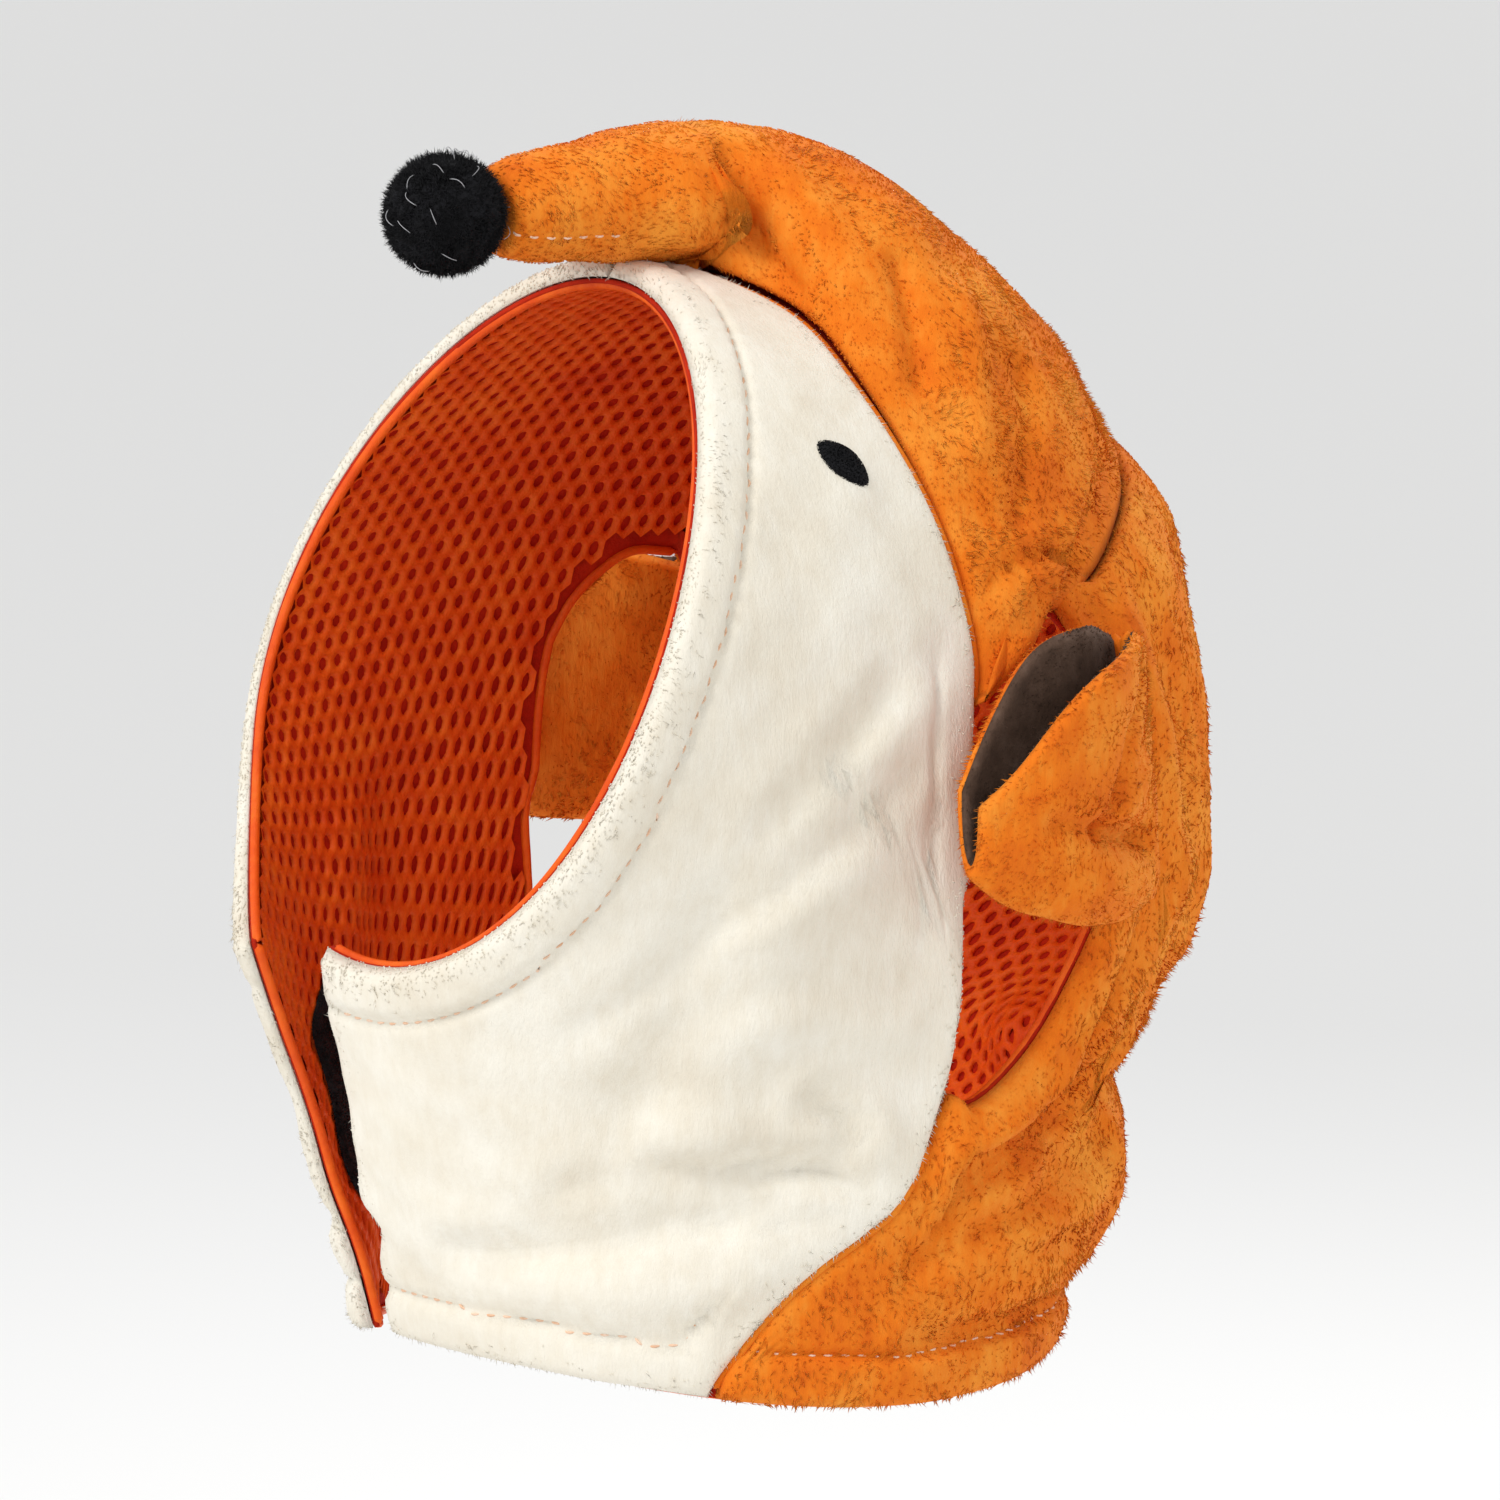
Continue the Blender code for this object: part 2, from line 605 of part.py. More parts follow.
def rounded_patch(share, angle, length, width, tilt, power, lift):
    """Points of a small piece that follows the hood. length lies along the
    tilt, which is measured from the way round the tube to the way down it."""
    turn = np.arange(PATCH_SIDES + 1) % PATCH_SIDES * 2 * math.pi / PATCH_SIDES
    size = (np.abs(np.cos(turn)) ** power + np.abs(np.sin(turn)) ** power) ** (-1 / power)
    radius = np.linspace(0, 1, PATCH_RINGS + 1)[:, None] * size[None, :]
    a = radius * np.cos(turn) * length / 2
    b = radius * np.sin(turn) * width / 2
    round_ = a * math.cos(tilt) - b * math.sin(tilt)
    down = a * math.sin(tilt) + b * math.cos(tilt)
    per_share = np.linalg.norm(tube(share + SHARE_STEP, angle) - tube(share - SHARE_STEP, angle))
    per_angle = np.linalg.norm(tube(share, angle + ANGLE_STEP) - tube(share, angle - ANGLE_STEP))
    per_share /= 2 * SHARE_STEP
    per_angle /= 2 * ANGLE_STEP
    points = hood(share + down / per_share, angle + round_ / per_angle, lift)
    return points[:, ::-1]


def add_eyes(material):
    """The almond eyes, on the cheeks."""
    for name, side in (("eye_left", 1), ("eye_right", -1)):
        tilt = math.radians(90 + side * EYE_TILT)
        points = rounded_patch(EYE_SHARE, side * EYE_ANGLE, EYE_LENGTH, EYE_WIDTH, tilt,
                               EYE_ROUNDNESS, LAYER_GAP + PLUSH + EYE_GAP)
        add_sheet(name, points, material, EYE_FELT)


def add_patch(material):
    """The hook patch on the lining of the far flap."""
    points = rounded_patch(PATCH_SHARE, PATCH_ANGLE, PATCH_WIDTH, PATCH_HEIGHT, 0.0,
                           PATCH_ROUNDNESS, -LINING - PATCH_GAP)
    add_sheet("hook_patch", points, material, PATCH_THICKNESS, inward=True)


def build():
    """Make every piece of the hat."""
    cloths = {name: new_material(name) for name in CLOTHS}
    add_cheek("cheek_left", 1, NEAR_FLAP_END, cloths["cream_plush"])
    add_cheek("cheek_right", -1, -FAR_FLAP_END, cloths["cream_plush"])
    add_back_panel(cloths["orange_plush"])
    add_lining(cloths["mesh_lining"])
    add_snout(cloths["orange_plush"])
    add_pompom(cloths["black_wool"])
    add_ears(cloths["orange_plush"], cloths["brown_felt"])
    add_eyes(cloths["black_wool"])
    add_patch(cloths["black_tape"])


for old in list(bpy.data.objects):
    bpy.data.objects.remove(old, do_unlink=True)
COLLECTION = bpy.data.collections.new("dog_hat")
bpy.context.scene.collection.children.link(COLLECTION)
HEAD_FIT = bpy.data.objects.new("head_fit", None)
COLLECTION.objects.link(HEAD_FIT)
SEAT = hood(SEAT_SHARE, 180.0, -LINING)
HEAD_FIT.location = -Vector(SEAT)
build()
bpy.context.view_layer.update()
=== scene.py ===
"""Looks of the dog hat: plush with pile, a knitted mesh lining, felt and yarn.

The hood is the same bent tube of cloth as in the model. share runs from 0 at
the face rim to 1 at the neck hem, and angle from 0 at the chin over 90 at the
left side to 180 at the crown; the right side is negative. Shapes are worked
out over the middle of the neck hem and then moved by SEAT. Metres, +Z up.
"""
import math

import bpy
import numpy as np
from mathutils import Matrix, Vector


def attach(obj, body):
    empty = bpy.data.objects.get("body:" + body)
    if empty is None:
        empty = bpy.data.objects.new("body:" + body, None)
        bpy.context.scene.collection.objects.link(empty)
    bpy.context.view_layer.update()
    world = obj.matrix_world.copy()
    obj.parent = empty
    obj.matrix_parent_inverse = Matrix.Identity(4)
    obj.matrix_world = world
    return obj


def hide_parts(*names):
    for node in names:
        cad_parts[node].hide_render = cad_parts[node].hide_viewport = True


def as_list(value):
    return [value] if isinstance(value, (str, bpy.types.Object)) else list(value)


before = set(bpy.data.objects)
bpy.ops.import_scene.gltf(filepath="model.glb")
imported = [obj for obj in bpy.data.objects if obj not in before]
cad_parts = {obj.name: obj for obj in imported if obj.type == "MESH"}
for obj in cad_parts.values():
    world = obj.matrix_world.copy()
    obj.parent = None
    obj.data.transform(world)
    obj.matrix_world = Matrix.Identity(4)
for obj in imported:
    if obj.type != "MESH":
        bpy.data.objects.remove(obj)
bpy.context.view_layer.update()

# Sizes of the model
HOOD_HEIGHT = 0.205
HOOD_DEPTH = 0.190
HOOD_WIDTH = 0.132
PLUSH = 0.0022
LINING = 0.0018
LAYER_GAP = 0.0003
SEAM_GAP = 0.0004
FOLD_DEPTH = 0.004
FOLD_WIDTH = 0.010
SNOUT_LENGTH = 0.140
SNOUT_RISE = 0.064
SNOUT_WIDTH = 0.036
POMPOM_RADIUS = 0.0108
LOCK_LENGTH = 0.0013
EAR_LENGTH = 0.054
EAR_HEIGHT = 0.050
EAR_SPREAD = 0.020
EAR_PLUSH = 0.0016
EAR_FELT = 0.0012
EYE_LENGTH = 0.0145
EYE_WIDTH = 0.0062
PATCH_WIDTH = 0.022
PATCH_HEIGHT = 0.040

# Places of the model, angles in degrees
NEAR_FLAP_END = -12.0
FAR_FLAP_END = -21.0
FAR_FLAP_LIFT = 0.011
FAR_FLAP_DROP = 0.75
FAR_FLAP_BEND = 64.0
FAR_FLAP_MOST = 1.2
HEM_CORNER = 51.0
CROWN_SEAM_START = 100.0
SLOT_BOTTOM = 81.0
SLOT_TOP = 119.0
SLOT_REAR = 99
SEAT_SHARE = 0.26
EAR_TOP_SHARE = 0.46
EAR_FOOT_SHARE = 0.630
EAR_SET_BACK = 3.0
EAR_FULLNESS = 1.15
EYE_SHARE = 0.15
EYE_ANGLE = 121.5
EYE_TILT = 31.0
PATCH_SHARE = 0.56
PATCH_ANGLE = -37.0

# share, front_y, front_z, back_y, back_z, half_width, peak, bow
HOOPS = np.array([
    [0.00, -0.442, 0.400, -0.142, 1.000, 0.462, 0.16, 0.020],
    [0.20, -0.426, 0.322, 0.116, 0.985, 0.484, 0.12, 0.005],
    [0.40, -0.411, 0.254, 0.368, 0.868, 0.500, 0.08, 0.000],
    [0.60, -0.395, 0.185, 0.548, 0.620, 0.500, 0.04, 0.000],
    [0.80, -0.374, 0.117, 0.458, 0.275, 0.480, 0.02, -0.010],
    [1.00, -0.353, 0.040, 0.326, 0.015, 0.470, 0.00, -0.036],
])

# Edge of the cheek: angle, share
CHEEK_EDGE = np.array([
    [51, 1.000], [55, 0.940], [61, 0.870], [66, 0.835], [72, 0.810], [78, 0.770],
    [81, 0.705], [84, 0.570], [90, 0.490], [95, 0.435], [100, 0.395], [105, 0.365],
    [110, 0.326], [117, 0.276], [134, 0.172], [150, 0.120], [165, 0.075], [180, 0.055],
])

# Lower edge of the snout: angle, share
CROWN_EDGE = np.array([
    [100, 0.395], [105, 0.380], [110, 0.378], [115, 0.388], [119, 0.420],
    [126, 0.432], [140, 0.445], [160, 0.458], [180, 0.462],
])

# Front edge of the back panel: angle, share
BACK_EDGE = np.array([
    [51, 1.000], [55, 0.940], [61, 0.870], [66, 0.835], [72, 0.810], [78, 0.770],
    [81, 0.705], [86, 0.722], [93, 0.715], [99, 0.690], [105, 0.636], [110, 0.590],
    [114, 0.540], [117, 0.490], [119, 0.420],
    [126, 0.432], [140, 0.445], [160, 0.458], [180, 0.462],
])

# Folds that the model has too
# side, angle_1, share_1, angle_2, share_2, depth, width
FOLDS = [
    [0, 112, 0.66, 180, 0.74, 0.7, 1.5],
    [0, 105, 0.79, 180, 0.835, -1.2, 0.9],
    [0, 100, 0.88, 180, 0.90, 0.6, 1.3],
    [0, 95, 0.945, 180, 0.955, -0.7, 0.7],
    [0, 128, 0.47, 180, 0.50, 0.9, 1.6],
    [0, 60, 0.30, 38, 0.52, -0.5, 0.9],
    [0, 70, 0.36, 30, 0.70, 0.5, 1.2],
    [1, 66, 0.72, 28, 0.70, -0.6, 0.8],
    [1, 74, 0.74, 36, 0.86, 0.5, 1.0],
    [-1, 70, 0.70, 34, 0.78, -0.5, 1.0],
]

# Free part of the snout: along, bottom, top, half_width
SNOUT_OVALS = np.array([
    [0.000, 0.185, 0.265, 0.070],
    [0.006, 0.090, 0.350, 0.230],
    [0.120, 0.062, 0.400, 0.330],
    [0.230, 0.045, 0.432, 0.430],
    [0.305, 0.040, 0.440, 0.500],
])

# Base of the snout: foot, ridge, swell, fullness
SNOUT_ARCHES = np.array([
    [81, 0.462, 0.00, 2.0],
    [92, 0.425, 0.06, 2.2],
    [100, 0.385, 0.10, 2.4],
    [110, 0.330, 0.16, 2.6],
    [119, 0.280, 0.21, 2.6],
    [134, 0.200, 0.32, 2.6],
    [150, 0.140, 0.38, 2.4],
    [180, 0.080, 0.40, 2.0],
])
SNOUT_SPLIT = 138.0
ARCH_BEND = 1.5
FOOT_HOLD = 4
SNOUT_EASE = 0.0005

NOSE_AHEAD = 0.19
POMPOM_RISE = 0.225

# Ears: along, near_out, near_up, keel_out, keel_up, far_out, far_up
EAR_SECTIONS = np.array([
    [0.33, 0.72, 0.48, 0.46, -0.51, 0.16, 0.55],
    [0.66, 0.96, 0.33, 0.64, -0.44, 0.34, 0.46],
    [0.90, 0.82, 0.06, 0.62, -0.32, 0.44, 0.16],
    [1.00, 0.70, -0.04, 0.60, -0.23, 0.50, 0.00],
])
EAR_END = 0.985
EAR_SEAM_RADIUS = 0.0018

# Least lengths, steps over which slopes are measured, and points along a fold
TINY = 1e-12
SHARE_STEP = 0.002
ANGLE_STEP = 0.4
TRIM_SHARE = 0.004
TRIM_ANGLE = 0.5
PATCH_STEP = 0.01
LEAST_WIDTH = 0.02
FOLD_POINTS = 9
FINE_FOLD_POINTS = 5
CREASE_POINTS = 6

# Seeds of the random draws
NEAR_CHEEK_SEED = 101
FAR_CHEEK_SEED = 201
BACK_RIPPLE_SEED = 5
BACK_SEED = 31
NET_SEED = 5
SNOUT_RIPPLE_SEED = 77
SNOUT_SEED = 61
POMPOM_SEED = 3
EAR_RIPPLE_SEED = 15
EAR_SEED = 81
EAR_NAP_SEED = 91
EYE_SEED = 95
HOOK_SEED = 97


def spline(knots, values, at):
    """Smooth curve through the rows of a table."""
    knots = np.asarray(knots, float)
    values = np.asarray(values, float)
    at = np.clip(np.asarray(at, float), knots[0], knots[-1])
    slopes = np.gradient(values, knots, axis=0)
    index = np.clip(np.searchsorted(knots, at, side="right") - 1, 0, len(knots) - 2)
    step = knots[index + 1] - knots[index]
    t = (at - knots[index]) / step
    if values.ndim > 1:
        extra = (1,) * (values.ndim - 1)
        t = t.reshape(t.shape + extra)
        step = step.reshape(step.shape + extra)
    start, end = values[index], values[index + 1]
    rise, fall = slopes[index] * step, slopes[index + 1] * step
    return (start * (1 + 2 * t) * (1 - t) ** 2 + rise * t * (1 - t) ** 2
            + end * t * t * (3 - 2 * t) + fall * t * t * (t - 1))


def stack(x, y, z):
    """Points from three arrays of coordinates."""
    return np.stack(np.broadcast_arrays(x, y, z), axis=-1).astype(float)


def unit(vectors):
    """Vectors of length one."""
    return vectors / np.maximum(np.linalg.norm(vectors, axis=-1, keepdims=True), TINY)


def smooth(low, high, value):
    """0 below low, 1 above high, and a soft step between."""
    t = np.clip((value - low) / (high - low), 0, 1)
    return t * t * (3 - 2 * t)


def tube(share, angle):
    """The bare tube, without folds."""
    row = spline(HOOPS[:, 0], HOOPS[:, 1:], share)
    turn = np.radians(angle)
    along = (1 - np.cos(turn)) / 2
    front_y, back_y = row[..., 0] * HOOD_DEPTH, row[..., 2] * HOOD_DEPTH
    front_z, back_z = row[..., 1] * HOOD_HEIGHT, row[..., 3] * HOOD_HEIGHT
    run_y, run_z = back_y - front_y, back_z - front_z
    run = np.hypot(run_y, run_z)
    bow = row[..., 6] * HOOD_HEIGHT * np.sin(turn) ** 2
    x = row[..., 4] * HOOD_WIDTH * np.sin(turn) * (1 - row[..., 5] * along)
    y = front_y + run_y * along - bow * run_z / run
    z = front_z + run_z * along + bow * run_y / run
    return stack(x, y, z)


def outward(surface, share, angle):
    """Direction out of a surface that is given by share and angle."""
    share = np.clip(share, SHARE_STEP, 1 - SHARE_STEP)
    down = surface(share + SHARE_STEP, angle) - surface(share - SHARE_STEP, angle)
    round_ = surface(share, angle + ANGLE_STEP) - surface(share, angle - ANGLE_STEP)
    return unit(np.cross(down, round_))


def distance_to_line(points, line):
    """Distance from each point to a line of short straight runs."""
    nearest = np.full(points.shape[:-1], np.inf)
    for start, end in zip(line[:-1], line[1:]):
        run = end - start
        t = np.clip(((points - start) @ run) / max(run @ run, TINY), 0, 1)
        gap = np.linalg.norm(points - start - t[..., None] * run, axis=-1)
        nearest = np.minimum(nearest, gap)
    return nearest


def nearest_edge(points, *lines):
    """Distance from each point to the nearest of several lines."""
    return np.minimum.reduce([distance_to_line(points, line) for line in lines])


def bell(distance, width):
    """1 at the middle of a fold, and softly down to 0 beside it."""
    return np.exp(-(distance / width) ** 2)


def fold_lines(rows):
    """Each fold as a line on the bare tube, with its depth and its width."""
    steps = np.linspace(0, 1, FOLD_POINTS)
    for side, angle_1, share_1, angle_2, share_2, depth, width in rows:
        angle = angle_1 + (angle_2 - angle_1) * steps
        share = share_1 + (share_2 - share_1) * steps
        for sign in ([1, -1] if side == 0 else [side]):
            yield tube(share, sign * angle), depth * FOLD_DEPTH, width * FOLD_WIDTH


FOLD_LINES = list(fold_lines(FOLDS))


def folded(share, angle):
    """The tube with the model's folds, and the far flap lifted off the neck."""
    points = tube(share, angle)
    rise = np.zeros(points.shape[:-1])
    for line, depth, width in FOLD_LINES:
        rise += depth * bell(distance_to_line(points, line), width)
    bent = np.clip((FAR_FLAP_BEND + angle) / (FAR_FLAP_BEND + FAR_FLAP_END), 0, FAR_FLAP_MOST)
    far = np.asarray(angle) < (NEAR_FLAP_END + FAR_FLAP_END) / 2
    rise += FAR_FLAP_LIFT * bent ** 2 * (1 - FAR_FLAP_DROP * share) * far
    return points + outward(tube, share, angle) * rise[..., None]


def hood(share, angle, lift=0.0):
    """A point of the hood, lifted off its base surface."""
    share = np.asarray(share, float)
    angle = np.asarray(angle, float)
    lift = np.asarray(lift, float)
    return folded(share, angle) + outward(folded, share, angle) * lift[..., None]


SEAT = hood(SEAT_SHARE, 180.0, -LINING)


def cheek_edge(angle):
    """Share at which the cheek ends, for an angle from the chin."""
    return spline(CHEEK_EDGE[:, 0], CHEEK_EDGE[:, 1], np.abs(angle))


def crown_edge(angle):
    """Share at which the snout's base ends."""
    inside = spline(CROWN_EDGE[:, 0], CROWN_EDGE[:, 1], np.abs(angle))
    return np.where(np.abs(angle) > CROWN_SEAM_START, inside, cheek_edge(angle))


def back_edge(angle):
    """Share at which the back panel starts."""
    return spline(BACK_EDGE[:, 0], BACK_EDGE[:, 1], np.abs(angle))


def trimmed(edge, angle, direction):
    """The edge moved along the tube, so that half the seam gap is free."""
    share = edge(angle)
    slope = (edge(angle + TRIM_ANGLE) - edge(angle - TRIM_ANGLE)) / (2 * TRIM_ANGLE)
    down = (tube(share + TRIM_SHARE, angle) - tube(share - TRIM_SHARE, angle)) / (2 * TRIM_SHARE)
    round_ = (tube(share, angle + TRIM_ANGLE) - tube(share, angle - TRIM_ANGLE)) / (2 * TRIM_ANGLE)
    along = unit(round_ + slope[..., None] * down)
    width = np.linalg.norm(np.cross(down, along), axis=-1)
    return share + direction * SEAM_GAP / 2 / np.maximum(width, LEAST_WIDTH)


def nodes_of(material):
    """A material's node tree, its shader and a way to add nodes."""
    material.use_nodes = True
    tree = material.node_tree
    shader = tree.nodes["Principled BSDF"]

    def add(kind, **values):
        node = tree.nodes.new(kind)
        for key, value in values.items():
            if key in node.inputs:
                node.inputs[key].default_value = value
            else:
                setattr(node, key, value)
        return node
    return tree, shader, add


# Plush: scales of the noise, shares of the mix, steps of the ramp, nap and shine
STREAK_SCALE = 420.0
STREAK_SHARE = 0.35
TUFT_SHARE = 0.16
NOISE_ROUGHNESS = 0.6
RAMP_START = 0.50
RAMP_MIDDLE = 0.75
NAP_SCALE = 1500.0
NAP_ROUGHNESS = 0.7
NAP_STRENGTH = 0.5
NAP_DEPTH = 0.0005
CLOTH_SPECULAR = 0.2
SHEEN_ROUGHNESS = 0.5


def plush_material(name, dark, middle, light, sheen, patch_size, roughness=0.85, streak=1.0):
    """Cloth whose colour drifts in patches, in streaks and from tuft to tuft."""
    material = bpy.data.materials.new(name)
    tree, shader, add = nodes_of(material)
    link = tree.links.new
    place = add("ShaderNodeTexCoord")
    lengthen = add("ShaderNodeMapping", Scale=(1.0, 1.0, streak))
    link(place.outputs["Object"], lengthen.inputs["Vector"])
    patches = add("ShaderNodeTexNoise", Scale=1 / patch_size, Detail=4.0, Roughness=NOISE_ROUGHNESS)
    link(place.outputs["Object"], patches.inputs["Vector"])
    streaks = add("ShaderNodeTexNoise", Scale=STREAK_SCALE, Detail=2.0, Roughness=NOISE_ROUGHNESS)
    link(lengthen.outputs["Vector"], streaks.inputs["Vector"])
    tufts = add("ShaderNodeNewGeometry")
    blend = add("ShaderNodeMath", operation="MULTIPLY_ADD")
    link(streaks.outputs["Fac"], blend.inputs[0])
    blend.inputs[1].default_value = STREAK_SHARE
    link(patches.outputs["Fac"], blend.inputs[2])
    mixed = add("ShaderNodeMath", operation="MULTIPLY_ADD")
    link(tufts.outputs["Random Per Island"], mixed.inputs[0])
    mixed.inputs[1].default_value = TUFT_SHARE
    link(blend.outputs[0], mixed.inputs[2])
    ramp = add("ShaderNodeValToRGB")
    ramp.color_ramp.elements[0].position = RAMP_START
    ramp.color_ramp.elements[0].color = (*dark, 1)
    ramp.color_ramp.elements[1].position = 1.0
    ramp.color_ramp.elements[1].color = (*light, 1)
    ramp.color_ramp.elements.new(RAMP_MIDDLE).color = (*middle, 1)
    link(mixed.outputs[0], ramp.inputs["Fac"])
    link(ramp.outputs["Color"], shader.inputs["Base Color"])
    nap = add("ShaderNodeTexNoise", Scale=NAP_SCALE, Detail=3.0, Roughness=NAP_ROUGHNESS)
    link(lengthen.outputs["Vector"], nap.inputs["Vector"])
    bump = add("ShaderNodeBump", Strength=NAP_STRENGTH, Distance=NAP_DEPTH)
    link(nap.outputs["Fac"], bump.inputs["Height"])
    link(bump.outputs["Normal"], shader.inputs["Normal"])
    for key, value in (("Roughness", roughness), ("Specular IOR Level", CLOTH_SPECULAR),
                       ("Sheen Weight", sheen), ("Sheen Roughness", SHEEN_ROUGHNESS),
                       ("Sheen Tint", (*light, 1))):
        shader.inputs[key].default_value = value
    return material


ORANGE = plush_material("orange_plush", (0.66, 0.105, 0.003), (0.80, 0.185, 0.007), (0.88, 0.31, 0.032),
                        0.35, 0.022, streak=0.3)
CREAM = plush_material("cream_plush", (0.72, 0.64, 0.51), (0.80, 0.74, 0.62), (0.87, 0.83, 0.73),
                       0.20, 0.030, streak=0.35)
WEB = plush_material("mesh_web", (0.70, 0.062, 0.003), (0.82, 0.100, 0.005), (0.90, 0.16, 0.010),
                     0.10, 0.012, 0.5)
# Darker red than the net: the colour of the layer behind the net, with painted shade of the net's holes
SHADED_BACKING = plush_material("mesh_backing_painted_shade", (0.36, 0.010, 0.001), (0.47, 0.018, 0.002), (0.58, 0.030, 0.003),
                         0.05, 0.010, 0.9)
YARN = plush_material("black_yarn", (0.003, 0.003, 0.004), (0.007, 0.007, 0.008), (0.016, 0.016, 0.019),
                      0.10, 0.006, 0.9)
FELT = plush_material("brown_felt", (0.060, 0.034, 0.022), (0.100, 0.057, 0.038), (0.155, 0.095, 0.068),
                      0.15, 0.008, 0.9)
TAPE = plush_material("black_tape", (0.004, 0.004, 0.004), (0.008, 0.008, 0.009), (0.016, 0.016, 0.018),
                      0.10, 0.005, 0.7)
LINT = plush_material("pale_lint", (0.35, 0.35, 0.36), (0.48, 0.48, 0.50), (0.60, 0.60, 0.62),
                      0.10, 0.004, 0.7)
THREAD = plush_material("seam_thread", (0.80, 0.46, 0.28), (0.88, 0.58, 0.40), (0.93, 0.70, 0.55),
                        0.05, 0.004, 0.6)


def new_object(name, verts, faces, material, replaced=()):
    """A smooth piece that rides on the hat and stands for its nodes."""
    mesh = bpy.data.meshes.new(name)
    verts = np.asarray(verts, float).reshape(-1, 3) - SEAT
    faces = np.asarray(faces, np.int32)
    mesh.vertices.add(len(verts))
    mesh.vertices.foreach_set("co", verts.astype(np.float32).ravel())
    mesh.loops.add(faces.size)
    mesh.loops.foreach_set("vertex_index", faces.ravel())
    mesh.polygons.add(len(faces))
    mesh.polygons.foreach_set("loop_start", np.arange(len(faces), dtype=np.int32) * faces.shape[1])
    mesh.update(calc_edges=True)
    mesh.shade_smooth()
    mesh.materials.append(material)
    piece = bpy.data.objects.new(name, mesh)
    bpy.context.scene.collection.objects.link(piece)
    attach(piece, "root")
    if replaced:
        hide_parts(*replaced)
    return piece


def grid_normals(points):
    """Outward directions over a grid whose rows go down the tube."""
    return unit(np.cross(np.gradient(points, axis=0), np.gradient(points, axis=1)))


def grid_faces(rows, columns, flip=False):
    """Quads over a grid of points."""
    r, c = np.meshgrid(np.arange(rows - 1), np.arange(columns - 1), indexing="ij")
    first = (r * columns + c).ravel()
    quads = np.stack([first, first + columns, first + columns + 1, first + 1], axis=1)
    return quads[:, ::-1] if flip else quads


def closed_sheet(outer, inner):
    """Points and quads of a sheet whose two sides share their border."""
    rows, columns = outer.shape[:2]
    count = rows * columns
    index = np.arange(count).reshape(rows, columns) + count
    index[0], index[-1] = np.arange(columns), np.arange(columns) + (rows - 1) * columns
    index[:, 0], index[:, -1] = np.arange(rows) * columns, np.arange(rows) * columns + columns - 1
    back = index.ravel()[grid_faces(rows, columns, True)]
    verts = np.concatenate([outer.reshape(-1, 3), inner.reshape(-1, 3)])
    faces = np.concatenate([grid_faces(rows, columns), back])
    used, compact = np.unique(faces, return_inverse=True)
    return verts[used], compact.reshape(faces.shape)


def graded(count, ease=0.5):
    """Shares from 0 to 1, closer together near both ends."""
    t = np.linspace(0, 1, count)
    return t * (1 - ease) + ease * (1 - np.cos(math.pi * t)) / 2


# Surface noise and the spikes of the pile
WAVES = 7
WAVE_SIZES = (0.6, 1.7)
FULL_TURN = 6.28
WAVE_TOTAL = 3.2
SPIKE_ROOT = 0.0003
FLATTEST = 0.88
SLANT_SPREAD = 0.12
SPIKE_LENGTHS = (0.65, 1.25)
SPIKE_WIDTHS = (0.7, 1.3)
SPIKE_BACK = 1.2
DRIFT_SIZE = 0.030
DRIFT_SHARE = 0.5
STRAY = 0.35

# Pile and nap: number of spikes, their length, their width and how far they lie down
CHEEK_PILE = (4500, 0.0011, 0.0003, 0.60)
BACK_PILE = (34000, 0.0014, 0.00034, 0.80)
SNOUT_PILE = (26000, 0.0014, 0.00034, 0.80)
EAR_PILE = (8000, 0.0014, 0.00034, 0.75)
EAR_NAP = (5000, 0.0009, 0.0003, 0.70)
EYE_NAP = (1500, 0.0008, 0.00028, 0.65)
PATCH_HOOKS = (3500, 0.0011, 0.0003, 0.35)
YARN_FIBRES = (12000, 0.0019, 0.00035, 0.55)


def ripple(points, size, seed):
    """Smooth noise, mostly between -1 and 1, made of a few crossing waves."""
    waves = np.random.default_rng(seed)
    total = np.zeros(points.shape[:-1])
    for _ in range(WAVES):
        way = unit(waves.normal(size=3)) * 2 * math.pi / (size * waves.uniform(*WAVE_SIZES))
        total += np.sin(points @ way + waves.uniform(0, FULL_TURN))
    return total / WAVE_TOTAL


def spikes(name, root, out, way, length, width, lie, material, draw):
    """Closed spikes on the roots, leaning along the way."""
    count = len(root)
    way = unit(way - out * np.sum(way * out, axis=1, keepdims=True))
    slant = np.clip(lie + draw.normal(scale=SLANT_SPREAD, size=(count, 1)), 0.0, FLATTEST)
    reach = length * draw.uniform(*SPIKE_LENGTHS, (count, 1))
    tip = root + unit(out * (1 - slant) + way * slant) * reach
    across = unit(np.cross(out, way))
    half = width / 2 * draw.uniform(*SPIKE_WIDTHS, (count, 1))
    sunk = root - out * SPIKE_ROOT
    wide = across * half
    verts = np.stack([sunk + wide, sunk - wide, sunk - way * half * SPIKE_BACK, tip], axis=1)
    corners = np.array([[0, 3, 1], [1, 3, 2], [2, 3, 0], [0, 1, 2]])
    faces = (np.arange(count) * 4)[:, None, None] + corners
    piece = new_object(name, verts, faces.reshape(-1, 3), material)
    piece.data.polygons.foreach_set("use_smooth", np.tile([True, True, True, False], count))
    return piece


